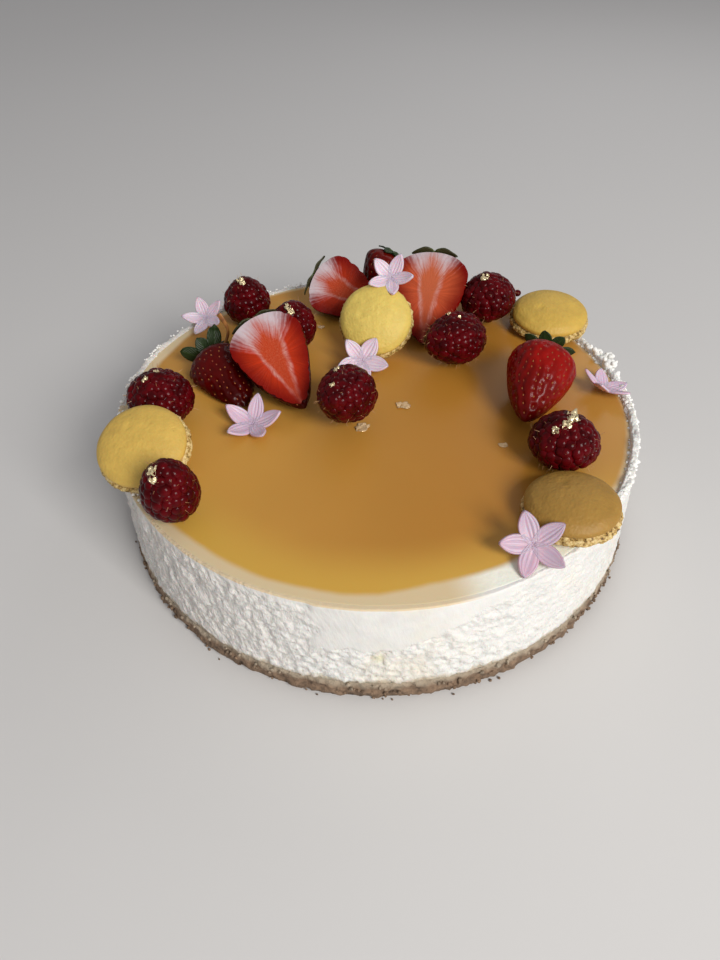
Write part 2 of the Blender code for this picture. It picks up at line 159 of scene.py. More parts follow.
CALYXES = [
    # leaves, leaf length, curl of the tips, half width of a leaf, oval or pointed
    (4, 12.5, 11.0, 3.2, True),
    (4, 10.0, 1.6, 2.6, False),
    (4, 9.8, 1.8, 2.4, False),
    (4, 10.8, 1.2, 2.6, False),
    (7, 11.0, 6.6, 2.5, True),
    (5, 7.5, 0.5, 2.6, False),
]

SHELLS = [
    # radius factor, x, y, heading, tilt, height of the lowest point
    (1.01, -83.4, -34.8, -12, 22, 47.3),
    (0.95, 1.0, 41.4, -10, 43, 46.9),
    (1.02, 77.8, 51.8, -10, 4, 48.3),
    (0.98, 62.3, -64.6, 215, 5, 47.4),
]

FLOWERS = [
    # petal scale, cup depth, x, y, z of the middle, heading, tilt, spin
    (0.88, 4.0, -75.2, 55.8, 52.0, -20, 30, 18),
    (1.00, 5.0, -48.0, -14.0, 47.9, 0, 12, 44),
    (1.00, 3.0, -5.6, 21.0, 51.8, 0, 40, 20),
    (0.88, 4.5, 7.2, 50.6, 73.1, -10, 36, 32),
    (0.95, 4.0, 90.6, 3.4, 49.2, 115, 22, 10),
    (1.00, 2.5, 46.6, -80.6, 52.3, -5, 40, 1),
]

JELLY_FLAKES = [
    # x, y, size
    (-6.6, -15.6, 5.0),
    (9.8, -2.5, 4.6),
    (45.9, -27.3, 2.4),
    (-23.4, 55.2, 2.6),
]

RIM_LUMPS = [
    # x, y, z, size
    (94.6, 29.0, 48.4, 5.2),
    (98.4, 26.4, 48.6, 5.0),
    (96.8, 20.6, 48.2, 6.0),
    (99.4, 21.6, 47.6, 4.2),
    (92.2, 33.6, 47.8, 4.0),
    (98.8, 14.2, 47.6, 3.6),
    (99.6, 8.2, 47.4, 3.4),
    (99.6, 1.0, 47.2, 3.0),
]


# Ways of working


def deselect():
    """Leave edit mode and deselect everything."""
    if bpy.context.object and bpy.context.object.mode != "OBJECT":
        bpy.ops.object.mode_set(mode="OBJECT")
    bpy.ops.object.select_all(action="DESELECT")


def activate(*things):
    """Select just these objects, the first one active."""
    deselect()
    for thing in things:
        thing.select_set(True)
    bpy.context.view_layer.objects.active = things[0]


def finish_with(thing, kind, **settings):
    """Add a modifier with these settings and apply it."""
    activate(thing)
    modifier = thing.modifiers.new(kind.title(), kind)
    for name, value in settings.items():
        setattr(modifier, name, value)
    bpy.ops.object.modifier_apply(modifier=modifier.name)


def primitive(add, **settings):
    """A new object by one of the operators that add a primitive, and nothing else selected."""
    deselect()
    add(**settings)
    return bpy.context.object


def copy_of(thing, place):
    """A copy of an object with its own mesh, moved there in its mesh."""
    double = bpy.data.objects.new(thing.name, thing.data.copy())
    bpy.context.scene.collection.objects.link(double)
    double.data.transform(place)
    return double


def join(things):
    """Join objects into the first one."""
    activate(*things)
    bpy.ops.object.join()
    return bpy.context.object


def remove(thing):
    """Delete an object that was only a pattern for copies."""
    bpy.data.objects.remove(thing, do_unlink=True)


def keep(thing, name, slot, *nodes):
    """Name a finished piece, hold it on the cake and hide the nodes it stands for."""
    activate(thing)
    bpy.ops.object.transform_apply(location=True, rotation=True, scale=True)
    thing.name = name
    thing.data.name = name
    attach(thing, "root")
    if nodes:
        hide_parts(*nodes)
    return thing


def wear(thing, *materials):
    """Give an object these materials in this order."""
    thing.data.materials.clear()
    for material in materials:
        thing.data.materials.append(material)


def write_map(thing, name, spots):
    """A UV map of the piece's own, with one (u, v) for each corner of the mesh."""
    layer = thing.data.uv_layers.new(name=name)
    for loop in thing.data.loops:
        layer.data[loop.index].uv = spots[loop.vertex_index]


def push_out(corner, distance):
    """Move a corner of a mesh away from the Z axis."""
    radius = math.hypot(corner.co.x, corner.co.y)
    corner.co.x *= 1.0 + distance / radius
    corner.co.y *= 1.0 + distance / radius


def fade(value, low, high):
    """0 below low, 1 above high and a smooth step between."""
    t = min(max((value - low) / (high - low), 0.0), 1.0)
    return t * t * (3.0 - 2.0 * t)


def turn(heading, tilt, spin):
    """Spin about the piece's own axis, then lean it by tilt towards a heading in plan."""
    lean = Matrix.Rotation(math.radians(tilt), 4, "X")
    own = Matrix.Rotation(math.radians(spin), 4, "Z")
    return Matrix.Rotation(math.radians(heading), 4, "Z") @ lean @ own


def stand(x, y, z, heading=0.0, tilt=0.0, spin=0.0):
    """The place of a piece whose own origin is at a spot in millimetres."""
    return Matrix.Translation(Vector((x, y, z)) * MM) @ turn(heading, tilt, spin)


def any_way(rng):
    """A turn to any side, drawn at random."""
    return turn(rng.uniform(0, 360), rng.uniform(0, 180), rng.uniform(0, 360))


def facing(spot, outward, spin=0.0):
    """A place at a spot with +Z along a direction."""
    lean = outward.to_track_quat("Z", "Y").to_matrix().to_4x4()
    return Matrix.Translation(spot) @ lean @ Matrix.Rotation(spin, 4, "Z")


def settle(thing, node):
    """Lower or raise a piece until its lowest point is at its solid's."""
    low = min(corner.co.z for corner in thing.data.vertices)
    thing.data.transform(Matrix.Translation((0.0, 0.0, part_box(node)[0][2] - low)))


def turn_up(rings, steps):
    """A closed piece about Z from (radius, height) rings, extruded and resized one by one."""
    radius, height = rings[0]
    circle = bpy.ops.mesh.primitive_circle_add
    spot = (0.0, 0.0, height)
    thing = primitive(circle, vertices=steps, radius=radius, fill_type="NOTHING", location=spot)
    bpy.ops.object.transform_apply(location=True)
    bpy.ops.object.mode_set(mode="EDIT")
    for next_radius, next_height in rings[1:]:
        bpy.ops.mesh.extrude_region_move(
            TRANSFORM_OT_translate={"value": (0.0, 0.0, next_height - height)}
        )
        grow = next_radius / radius
        bpy.ops.transform.resize(value=(grow, grow, 1.0), center_override=(0.0, 0.0, 0.0))
        radius, height = next_radius, next_height
    bpy.ops.mesh.merge(type="CENTER")
    bpy.ops.mesh.select_all(action="DESELECT")
    bpy.ops.mesh.select_non_manifold()
    bpy.ops.mesh.extrude_region_move(TRANSFORM_OT_translate={"value": (0.0, 0.0, 0.0)})
    bpy.ops.mesh.merge(type="CENTER")
    bpy.ops.mesh.select_all(action="SELECT")
    bpy.ops.mesh.normals_make_consistent(inside=False)
    bpy.ops.object.mode_set(mode="OBJECT")
    bpy.ops.object.shade_smooth()
    return thing


def ease(points, steps):
    """Points along a smooth curve through the given ones, with steps in each span."""
    ends = [points[0], *points, points[-1]]
    curve = []
    for before, start, end, after in zip(ends, ends[1:], ends[2:], ends[3:]):
        for step in range(steps):
            t = step / steps
            spot = []
            for a, b, c, d in zip(before, start, end, after):
                bend = (2.0 * a - 5.0 * b + 4.0 * c - d) * t + (3.0 * b - a - 3.0 * c + d) * t * t
                spot.append(b + 0.5 * t * (c - a + bend))
            curve.append(tuple(spot))
    return [*curve, points[-1]]


def thin_sheet(columns, rows, shape, thickness):
    """A closed sheet from a grid that runs -1 to 1 across and 0 to 1 along."""
    grid = bpy.ops.mesh.primitive_grid_add
    thing = primitive(grid, x_subdivisions=columns, y_subdivisions=rows, size=2.0)
    for corner in thing.data.vertices:
        corner.co = shape(corner.co.x, 0.5 * (corner.co.y + 1.0))
    finish_with(thing, "SOLIDIFY", thickness=thickness, offset=0.0)
    bpy.ops.object.shade_smooth()
    return thing


def grain(size, rough, seed):
    """A crumb: a small ball with its corners moved unevenly."""
    thing = primitive(bpy.ops.mesh.primitive_ico_sphere_add, subdivisions=2, radius=0.5 * size)
    shift = Vector((seed * 3.1, seed * 1.7, seed * 0.9))
    for corner in thing.data.vertices:
        lump = noise.fractal(corner.co * (1.6 / size) + shift, 0.7, 2.0, 3)
        corner.co *= 1.0 + rough * lump
    bpy.ops.object.shade_smooth()
    return thing


# Materials


class Look:
    """A procedural material, built one node at a time."""

    def __init__(self, name, **constants):
        self.material = bpy.data.materials.new(name)
        self.material.use_nodes = True
        self.tree = self.material.node_tree
        self.shader = self.tree.nodes["Principled BSDF"]
        for socket, value in constants.items():
            self.put(self.shader.inputs[socket.replace("_", " ")], value)
        self.object = self.add("TexCoord").outputs["Object"]

    def put(self, socket, value):
        """Link a socket to another one, or set its value."""
        if isinstance(value, bpy.types.NodeSocket):
            self.tree.links.new(value, socket)
        elif isinstance(value, (tuple, list, Vector)) and len(socket.default_value) == 4:
            socket.default_value = (*value[:3], 1.0)
        else:
            socket.default_value = value

    def add(self, kind, inputs=None, **settings):
        """A node of a kind, with its settings and inputs."""
        node = self.tree.nodes.new("ShaderNode" + kind)
        for name, value in settings.items():
            setattr(node, name, value)
        for key, value in (inputs or {}).items():
            self.put(node.inputs[key], value)
        return node

    def noise(self, scale, detail=3.0, rough=0.55, at=None):
        """Cloudy noise, 0 to 1."""
        inputs = {
            "Vector": at or self.object,
            "Scale": scale,
            "Detail": detail,
            "Roughness": rough,
        }
        return self.add("TexNoise", inputs).outputs[0]

    def cells(self, scale):
        """Distance to the nearest of many scattered points."""
        inputs = {"Vector": self.object, "Scale": scale}
        return self.add("TexVoronoi", inputs).outputs["Distance"]

    def maths(self, operation, a, b=0.0):
        """One step of arithmetic."""
        return self.add("Math", {0: a, 1: b}, operation=operation).outputs[0]

    def plus(self, a, b):
        """a + b"""
        return self.maths("ADD", a, b)

    def minus(self, a, b):
        """a - b"""
        return self.maths("SUBTRACT", a, b)

    def times(self, a, b):
        """a * b"""
        return self.maths("MULTIPLY", a, b)

    def span(self, value, low, high, start=0.0, end=1.0):
        """Bring low to high into start to end, clamped and eased."""
        inputs = {"Value": value, 1: low, 2: high, 3: start, 4: end}
        return self.add("MapRange", inputs, interpolation_type="SMOOTHSTEP").outputs[0]

    def mix(self, share, a, b):
        """Mix two colours."""
        return self.add("Mix", {0: share, 6: a, 7: b}, data_type="RGBA").outputs[2]

    def ramp(self, share, stops):
        """Colours along a ramp of (position, colour) stops."""
        node = self.add("ValToRGB", {0: share})
        band = node.color_ramp
        while len(band.elements) < len(stops):
            band.elements.new(0.5)
        for element, (position, colour) in zip(band.elements, stops):
            element.position = position
            element.color = (*colour, 1.0)
        return node.outputs[0]

    def profile(self, share, stops):
        """A value along a ramp of (position, value) stops."""
        greys = [(position, (value, 0.0, 0.0)) for position, value in stops]
        return self.axes(self.ramp(share, greys))[0]

    def axes(self, vector=None):
        """X, Y and Z of a vector."""
        return self.add("SeparateXYZ", {0: vector or self.object}).outputs

    def squeezed(self, direction, share):
        """Object coordinates pressed together along a direction, so that patterns run with it."""
        reach = self.add("VectorMath", {0: self.object, 1: direction}, operation="DOT_PRODUCT")
        part = self.times(reach.outputs["Value"], share)
        back = self.add("VectorMath", {0: direction, "Scale": part}, operation="SCALE").outputs[0]
        return self.add("VectorMath", {0: self.object, 1: back}, operation="SUBTRACT").outputs[0]

    def flat(self, name):
        """A UV map of the piece's own."""
        return self.add("UVMap", uv_map=name).outputs[0]

    def colour(self, value):
        """Set or link the shader's colour."""
        self.put(self.shader.inputs["Base Color"], value)

    def rough(self, value):
        """Set or link the shader's roughness."""
        self.put(self.shader.inputs["Roughness"], value)

    def bump(self, height, depth, strength=1.0, over=None):
        """Relief of a depth in metres, on top of other relief; sets the shader's normal."""
        inputs = {"Strength": strength, "Distance": depth, "Height": height}
        if over:
            inputs["Normal"] = over
        normal = self.add("Bump", inputs).outputs[0]
        self.put(self.shader.inputs["Normal"], normal)
        return normal


def shade(colour, factor):
    """A colour made darker or lighter."""
    return tuple(min(channel * factor, 1.0) for channel in colour[:3])


def tinted(colour, red, green, blue):
    """A colour with its channels changed one by one."""
    return (colour[0] * red, colour[1] * green, colour[2] * blue)


def cream_look(sizes):
    """Baked cream: off-white curds, a stained foot, a thin film of jelly on the front rim and painted
    shade on the furrowed left side.
    """
    look = Look("baked_cream", Roughness=0.62, Subsurface_Weight=0.1, Subsurface_Scale=0.0012)
    x, y, z = look.axes()
    band, left = look.axes(look.flat("side"))[:2]
    open_curd = look.minus(1.0, band)
    cream = tuple(sizes.cream_colour)
    curds = look.span(look.noise(150.0, 4.0), 0.35, 0.7)
    base = look.mix(curds, cream, shade(cream, 0.93))
    warm = look.span(look.noise(34.0, 3.0), 0.52, 0.72, 0.0, 0.5)
    base = look.mix(warm, base, (0.80, 0.73, 0.58))
    # painted shade: the furrowed left side made darker and greyer, as it lies in shade
    base = look.mix(look.times(left, 0.4), base, (0.70, 0.62, 0.56))
    pits = look.span(look.cells(420.0), 0.05, 0.32, 0.5, 0.0)
    low = look.times(look.span(z, 0.010, 0.026, 1.0, 0.12), open_curd)
    base = look.mix(look.times(pits, low), base, (0.42, 0.33, 0.22))
    foot = look.plus(z, look.times(look.noise(120.0, 4.0), 0.006))
    stain = look.span(foot, 0.0112, 0.0138, 0.85, 0.0)
    base = look.mix(stain, base, (0.46, 0.37, 0.25))
    ahead = look.span(look.maths("ARCTAN2", y, x), -1.38, -1.22, 1.0, 0.0)
    edge = look.plus(z, look.times(look.noise(60.0), 0.0005))
    film = look.span(edge, 0.0461, 0.0465, 0.0, 0.9)
    base = look.mix(look.times(film, ahead), base, FILM)
    away = look.add("VectorMath", {0: look.object, 1: BLEMISH}, operation="DISTANCE")
    spotted = look.span(away.outputs["Value"], 0.001, 0.0034, 0.6, 0.0)
    base = look.mix(spotted, base, (0.74, 0.69, 0.42))
    look.colour(base)
    rough = look.times(look.noise(900.0, 4.0, 0.6), look.span(band, 0.0, 1.0, 1.0, 0.15))
    fine = look.bump(rough, 0.0005, 0.8)
    torn = look.noise(620.0, 4.0, 0.65, at=look.squeezed(FURROW_RUN, 0.8))
    furrows = look.bump(look.times(torn, left), 0.0011, 0.9, fine)
    look.bump(look.times(look.cells(520.0), open_curd), 0.0006, 0.6, furrows)
    return look.material


def cream_crumb_look(sizes):
    """Loose crumbs of baked cream: pale, matte and lightly grained, with painted light: the cream made
    lighter so that crumbs shading each other still look white.
    """
    look = Look("cream_crumb", Roughness=0.85, Specular_IOR_Level=0.2)
    # painted light: the cream 1.18 times lighter, to make up for the shade the crumbs cast on each
    # other
    cream = shade(tuple(sizes.cream_colour), 1.18)
    look.colour(look.mix(look.span(look.noise(240.0), 0.35, 0.7), cream, shade(cream, 0.92)))
    look.bump(look.noise(900.0, 2.0), 0.0001, 0.3)
    return look.material


def biscuit_look(sizes, name, soaked):
    """Crushed biscuit: sandy crumbs with dark specks, pale where the cream soaked in.

    soaked is how much darker the foot is.
    """
    look = Look(name, Roughness=0.85)
    z = look.axes()[2]
    crust = tuple(sizes.crust_colour)
    crumbs = look.noise(330.0, 5.0, 0.65)
    base = look.ramp(
        crumbs,
        [
            (0.30, shade(crust, 0.30)),
            (0.45, shade(crust, 0.75)),
            (0.58, crust),
            (0.75, shade(crust, 1.45)),
        ],
    )
    height = look.plus(z, look.times(look.noise(90.0, 4.0), 0.004))
    pale = look.span(height, 0.0064, 0.0094, 0.0, 0.5)
    base = look.mix(pale, base, (0.62, 0.54, 0.41))
    under = look.span(height, 0.0034, 0.0056, soaked, 0.0)
    base = look.mix(under, base, shade(crust, 0.42))
    specks = look.span(look.cells(260.0), 0.06, 0.2, 0.55, 0.0)
    base = look.mix(specks, base, shade(crust, 0.32))
    look.colour(base)
    fine = look.bump(look.noise(700.0, 5.0, 0.7), 0.0009, 0.9)
    look.bump(look.cells(380.0), 0.0011, 0.7, fine)
    return look.material


def jelly_look(sizes):
    """Mango jelly: deep gold in the middle, clearer yellow at the edge, then a pale film, with painted
    light at the left and back and painted shade towards the right.
    """
    look = Look(
        "mango_glaze",
        Roughness=0.4,
        Specular_IOR_Level=0.24,
        Subsurface_Weight=0.1,
        Subsurface_Scale=0.003,
        Coat_Weight=0.05,
        Coat_Roughness=0.2,
    )
    x, y = look.axes()[:2]
    jelly = tuple(sizes.jelly_colour)
    plan = look.add("CombineXYZ", {0: x, 1: y}).outputs[0]
    away = look.add("VectorMath", {0: plan}, operation="LENGTH").outputs["Value"]
    wander = look.times(look.minus(look.noise(26.0, 3.0), 0.5), 0.004)
    away = look.plus(away, wander)
    angle = look.maths("ARCTAN2", y, x)
    cloud = look.noise(16.0, 2.0)
    middle = look.mix(look.span(cloud, 0.35, 0.65), jelly, shade(jelly, 0.9))
    # painted light: the jelly lighter at the left and at the back, where the lamps leave it darker
    light = tinted(jelly, 1.16, 1.2, 1.1)
    middle = look.mix(look.span(x, -0.075, -0.01, 0.8, 0.0), middle, light)
    middle = look.mix(look.span(y, 0.02, 0.075, 0.0, 0.8), middle, light)
    # painted shade: the jelly darker and deeper orange towards the right, where a shadow falls
    painted_shade_right = look.span(x, -0.05, 0.045, 0.0, 1.0)
    middle = look.mix(painted_shade_right, middle, tinted(jelly, 0.82, 0.72, 0.5))
    yellow = tinted(jelly, 1.14, 1.34, 1.2)
    yellow = look.mix(look.span(angle, -0.75, -0.35), yellow, shade(jelly, 0.92))
    base = look.mix(look.span(away, 0.072, 0.094), middle, yellow)
    around = look.span(angle, -math.pi, math.pi, 0.0, 1.0)
    around.node.interpolation_type = "LINEAR"
    beyond = look.minus(look.times(away, 10.0), look.profile(around, FILM_REACH))
    film = look.span(beyond, -0.016, 0.011)
    from_left = look.span(angle, -1.38, -1.2)
    creamy = look.times(from_left, look.span(angle, -0.8, -0.5, 1.0, 0.0))
    base = look.mix(film, base, look.mix(creamy, FILM, CREAMY_FILM))
    look.colour(base)
    look.rough(look.span(cloud, 0.3, 0.7, 0.38, 0.44))
    swell = look.bump(look.noise(38.0, 2.0, 0.4), 0.0005, 0.2)
    curds = look.times(look.noise(420.0, 4.0, 0.6), look.times(creamy, film))
    look.bump(curds, 0.0006, 0.5, swell)
    return look.material


def raspberry_look(sizes):
    """Raspberry skin: deep crimson that varies from drupelet to drupelet."""
    look = Look(
        "raspberry_skin",
        Roughness=0.2,
        Specular_IOR_Level=0.1,
        Subsurface_Weight=0.03,
        Subsurface_Scale=0.001,
        Coat_Weight=0.02,
        Coat_Roughness=0.06,
    )
    berry = tuple(sizes.raspberry_colour)
    patches = look.span(look.noise(210.0, 2.0), 0.35, 0.65)
    base = look.mix(patches, shade(berry, 0.6), shade(berry, 1.35))
    look.colour(base)
    look.bump(look.noise(1500.0, 2.0), 0.00008, 0.4)
    return look.material


def hair_look():
    """A raspberry's fine straw-coloured hairs."""
    look = Look("raspberry_hair", Roughness=0.5)
    base = look.mix(look.noise(900.0), (0.42, 0.16, 0.08), (0.60, 0.36, 0.16))
    look.colour(base)
    return look.material


def strawberry_look(name, red, gloss):
    """Strawberry skin: red, paler at the shoulders, with a coat of juice and painted shade towards the
    tip.
    """
    look = Look(
        name,
        Roughness=0.3,
        Specular_IOR_Level=0.1,
        Subsurface_Weight=0.03,
        Subsurface_Scale=0.0015,
        Coat_Weight=gloss,
        Coat_Roughness=0.07,
    )
    along = look.axes(look.flat("berry"))[1]
    patches = look.span(look.noise(110.0, 3.0), 0.3, 0.7)
    base = look.mix(patches, shade(red, 0.62), red)
    # painted shade: the skin darker towards the tip, which lies in shade
    deep = look.span(along, 0.0, 0.7, 0.85, 0.0)
    base = look.mix(deep, base, shade(red, 0.3))
    top = look.span(along, 0.80, 1.0, 0.0, 0.4)
    base = look.mix(top, base, tinted(red, 1.7, 6.0, 3.0))
    look.colour(base)
    look.bump(look.noise(340.0, 2.0), 0.0005, 0.6)
    return look.material


def seed_look():
    """Strawberry seeds, straw yellow to reddish brown."""
    look = Look("strawberry_seed", Roughness=0.4)
    tint = look.span(look.noise(300.0), 0.4, 0.6)
    look.colour(look.mix(tint, (0.34, 0.11, 0.02), (0.24, 0.03, 0.008)))
    return look.material


def flesh_look(name, core, paleness, streaks, colour):
    """Cut strawberry: white under the leaves, two pale veins beside the core, red to the skin.

    core is the core's half width as a share of the berry's width, paleness moves the white
    further down, and streaks is how clearly the veins show.
    """
    look = Look(
        name,
        Roughness=0.36,
        Specular_IOR_Level=0.07,
        Subsurface_Weight=0.04,
        Subsurface_Scale=0.0015,
        Coat_Weight=0.02,
        Coat_Roughness=0.12,
    )
    cut = look.flat("berry")
    across, along = look.axes(cut)[:2]
    aside = look.maths("ABSOLUTE", look.minus(across, 0.5))
    wave = look.times(look.minus(look.noise(6.0, 4.0, at=cut), 0.5), 0.09)
    aside = look.plus(aside, wave)
    rim = look.minus(look.profile(along, BERRY_PROFILE), aside)
    fan = look.maths("ARCTAN2", look.minus(along, 0.55), aside)
    rays = look.add("CombineXYZ", {0: look.times(fan, 17.0), 1: across, 2: along})
    fibres = look.span(look.noise(1.0, 4.0, 0.75, at=rays.outputs[0]), 0.3, 0.7)
    ripe = tinted(colour, 1.0, 0.6, 0.5)
    flesh = look.mix(fibres, shade(ripe, 0.8), shade(ripe, 1.16))
    low = look.span(along, 0.0, 0.62, 0.6, 0.0)
    flesh = look.mix(low, flesh, (0.34, 0.022, 0.008))
    deep = look.span(rim, -0.01, 0.30, 1.0, 0.0)
    flesh = look.mix(deep, flesh, (0.18, 0.004, 0.002))
    half = look.span(along, 0.04, 0.8, 0.0, core)
    half.node.interpolation_type = "LINEAR"
    off = look.maths("ABSOLUTE", look.minus(aside, half))
    inside = look.span(look.minus(aside, half), -0.02, 0.02, 0.55, 0.0)
    speckle = look.span(look.noise(60.0, 3.0, 0.7, at=cut), 0.35, 0.75)
    heart = look.mix(speckle, shade(colour, 0.95), (0.62, 0.16, 0.075))
    heart = look.mix(look.span(along, 0.1, 0.6, 0.5, 0.0), heart, (0.38, 0.03, 0.01))
    base = look.mix(inside, flesh, heart)
    vein = look.span(off, 0.0, 0.048, streaks, 0.0)
    vein = look.times(vein, look.span(along, 0.04, 0.4, 0.15, 1.0))
    vein = look.times(vein, look.span(look.noise(14.0, 3.0, at=cut), 0.35, 0.6, 0.45, 1.0))
    vein = look.times(vein, look.span(fibres, 0.0, 1.0, 0.35, 1.0))
    base = look.mix(vein, base, (0.66, 0.36, 0.32))
    cloudy = look.times(look.noise(9.0, 4.0, at=cut), 0.2)
    cloudy = look.plus(cloudy, look.times(fibres, 0.1))
    reach = look.plus(along, look.minus(cloudy, 0.15))
    reach = look.minus(reach, look.times(off, 0.8))
    white = look.span(reach, 0.70 - paleness, 1.04 - paleness, 0.0, 0.96)
    base = look.mix(white, base, (0.60, 0.50, 0.53))
    look.colour(base)
    look.bump(fibres, 0.0003, 0.35)
    return look.material


def stalk_look():
    """Dried stalk: orange brown with darker streaks."""
    look = Look("dried_stalk", Roughness=0.55)
    streaks = look.span(look.noise(500.0, 3.0), 0.35, 0.7)
    look.colour(look.mix(streaks, (0.42, 0.17, 0.04), (0.24, 0.09, 0.03)))
    look.bump(streaks, 0.0002, 0.4)
    return look.material


def leaf_look(name, green):
    """Strawberry leaves: dark with a paler midrib."""
    look = Look(name, Roughness=0.4, Specular_IOR_Level=0.3)
    across, along = look.axes(look.flat("UVMap"))[:2]
    aside = look.maths("ABSOLUTE", look.minus(across, 0.5))
    base = look.mix(look.noise(260.0), shade(green, 0.6), shade(green, 1.4))
    ribs = look.maths("SINE", look.times(look.minus(along, aside), 46.0))
    base = look.mix(look.span(ribs, 0.4, 1.0, 0.0, 0.25), base, shade(green, 2.2))
    base = look.mix(look.span(aside, 0.01, 0.06, 0.5, 0.0), base, shade(green, 2.6))
    base = look.mix(look.span(along, 0.0, 0.25, 0.6, 0.0), base, (0.12, 0.16, 0.05))
    look.colour(base)
    look.bump(ribs, 0.0002, 0.4)
    return look.material


def shell_look(name, colour, toasted):
    """Macaron shell: matte and finely grained, browner in the foot, with painted shade in the foot's
    pores.
    """
    look = Look(name, Roughness=0.58, Subsurface_Weight=0.06, Subsurface_Scale=0.001)
    height = look.axes(look.flat("shell"))[1]
    mottle = look.span(look.noise(230.0, 4.0, 0.6), 0.32, 0.7)
    base = look.mix(mottle, shade(colour, 0.93), shade(colour, 1.05))
    cloud = look.span(look.noise(70.0, 3.0), 0.35, 0.7)
    base = look.mix(look.times(cloud, toasted), base, (0.42, 0.24, 0.045))
    specks = look.span(look.cells(330.0), 0.04, 0.12, 0.4, 0.0)
    base = look.mix(specks, base, (0.34, 0.20, 0.04))
    foot = look.span(height, 0.33, 0.41, 1.0, 0.0)
    # the darkest stop of the crumb ramp is painted shade in the foot's pores
    crumb = look.ramp(
        look.noise(620.0, 4.0, 0.7),
        [(0.38, (0.05, 0.022, 0.006)), (0.46, (0.42, 0.25, 0.06)), (0.60, (0.80, 0.63, 0.30))],
    )
    base = look.mix(look.times(foot, 0.85), base, crumb)
    look.colour(base)
    fine = look.bump(look.noise(620.0, 4.0, 0.65), 0.0003, 0.8)
    look.bump(look.cells(900.0), 0.0002, 0.5, fine)
    return look.material


def petal_look(name, pink):
    """Sugar petals: pale pink with lilac white ribs, pinker in the throat."""
    look = Look(name, Roughness=0.42, Subsurface_Weight=0.3, Subsurface_Scale=0.002)
    across, along = look.axes(look.flat("UVMap"))[:2]
    ribs = look.maths("SINE", look.times(across, 31.4))
    pale = tinted(pink, 1.1, 1.28, 1.2)
    base = look.mix(look.span(ribs, -1.4, 1.6), pink, pale)
    base = look.mix(look.span(along, 0.1, 0.5, 0.4, 0.0), base, (0.66, 0.34, 0.40))
    base = look.mix(look.span(look.noise(60.0), 0.45, 0.7, 0.0, 0.4), base, (0.78, 0.47, 0.58))
    look.colour(base)
    look.bump(ribs, 0.0002, 0.2)
    return look.material


def gold_look(name, gold, shine):
    """Gold leaf: crumpled and pale."""
    look = Look(name, Metallic=shine, Roughness=0.25)
    look.colour(look.mix(look.noise(700.0), gold, shade(gold, 0.8)))
    look.bump(look.noise(1400.0, 4.0), 0.0002, 0.8)
    return look.material


# The cake itself


def wall_radius(height):
    """Radius of the cake's side at a height."""
    return FOOT_RADIUS + (RIM_RADIUS - FOOT_RADIUS) * height / CAKE_HEIGHT


def back_left_bulge(x, y, z):
    """How far the top of the side swells out at the back left."""
    away = math.atan2(y, x) - BULGE_ANGLE
    return BULGE * max(0.0, math.cos(away)) ** 6 * fade(z, 0.3 * CAKE_HEIGHT, CAKE_HEIGHT)


def smooth_band(angle, z):
    """1 where the side was cut smooth: the upper half of the front."""
    degrees = math.degrees(angle)
    low = (26.0 + 17.0 * fade(degrees, -92.0, -64.0)) * MM
    low += 1.8 * MM * noise.fractal(Vector((angle * 14.0, 0.0, 3.0)), 0.7, 2.0, 3)
    start = -104.0 + 3.0 * noise.noise(Vector((z * 130.0, 5.0, 0.0)))
    across = fade(degrees, start, start + 1.6) * (1.0 - fade(degrees, -72.0, -60.0))
    return across * fade(z, low - 0.6 * MM, low + 0.6 * MM)


def furrowed(angle):
    """How strongly the side is torn into furrows: all of the left, fading to the right."""
    return 0.15 + 0.85 * fade(-math.cos(angle + 0.35), -0.35, 0.45)


def top_calm(angle, z):
    """1 at the top edge where it is smooth, which is everywhere but at the right."""
    return fade(z, 43.0 * MM, 45.8 * MM) * (1.0 - fade(math.cos(angle), 0.25, 0.55))


def side_relief(x, y, z, depth):
    """How far the side stands out or in at a point: furrows at the left, curds elsewhere."""
    angle = math.atan2(y, x)
    spot = Vector((x, y, z))
    band = smooth_band(angle, z)
    calm = 0.9 * top_calm(angle, z)
    large = 0.9 * noise.fractal(spot * 160.0, 0.8, 2.0, 3)
    large += 0.35 * noise.noise(Vector((x, y, z * 1.6)) * 60.0)
    left = furrowed(angle)
    run = angle * RIM_RADIUS
    lean = math.radians(26.0)
    sideways = run * math.cos(lean) + z * math.sin(lean)
    lengthways = run * math.sin(lean) - z * math.cos(lean)
    sway = 0.8 * noise.noise(spot * 130.0)
    furrow = 0.0
    for share, size in ((1.0, 330.0), (0.55, 620.0)):
        crest = noise.noise(Vector((sideways * size + sway, lengthways * 0.24 * size, size)))
        furrow += share * (0.55 - 2.2 * abs(crest))
    curd = noise.fractal(spot * 420.0, 0.6, 2.1, 4)
    curd += 0.8 * (0.45 - noise.voronoi(spot * 330.0)[0][0])
    curd *= 0.75 - 0.35 * left - 0.38 * fade(math.degrees(angle), -82.0, -50.0)
    rough = 0.65 * large + 0.55 * left * furrow + curd
    fine = 0.03 * noise.noise(spot * 500.0)
    relief = (1.0 - band) * (1.0 - calm) * rough + band * (0.55 + 0.10 * large + fine)
    return depth * relief * MM


def rim_relief(x, y):
    """How far the rim rises above its level: crumbs at the right, nearly level in front."""
    angle = math.atan2(y, x)
    right = fade(math.cos(angle), 0.2, 0.7) * fade(math.sin(angle), -0.8, -0.5)
    back_left = fade(-math.cos(angle), 0.3, 0.8) * fade(math.sin(angle), -0.2, 0.2)
    crumb = 0.5 + 0.9 * noise.noise(Vector((x, y, 0.0)) * 210.0)
    fine = noise.fractal(Vector((x, y, 0.0)) * 700.0, 0.7, 2.0, 3)
    share = 0.1 * fade(y, -0.6 * RIM_RADIUS, -0.2 * RIM_RADIUS) + 0.9 * right + 0.5 * back_left
    return (share * (1.2 * max(crumb, 0.0) + 0.6 * fine) + 0.9 * right) * MM


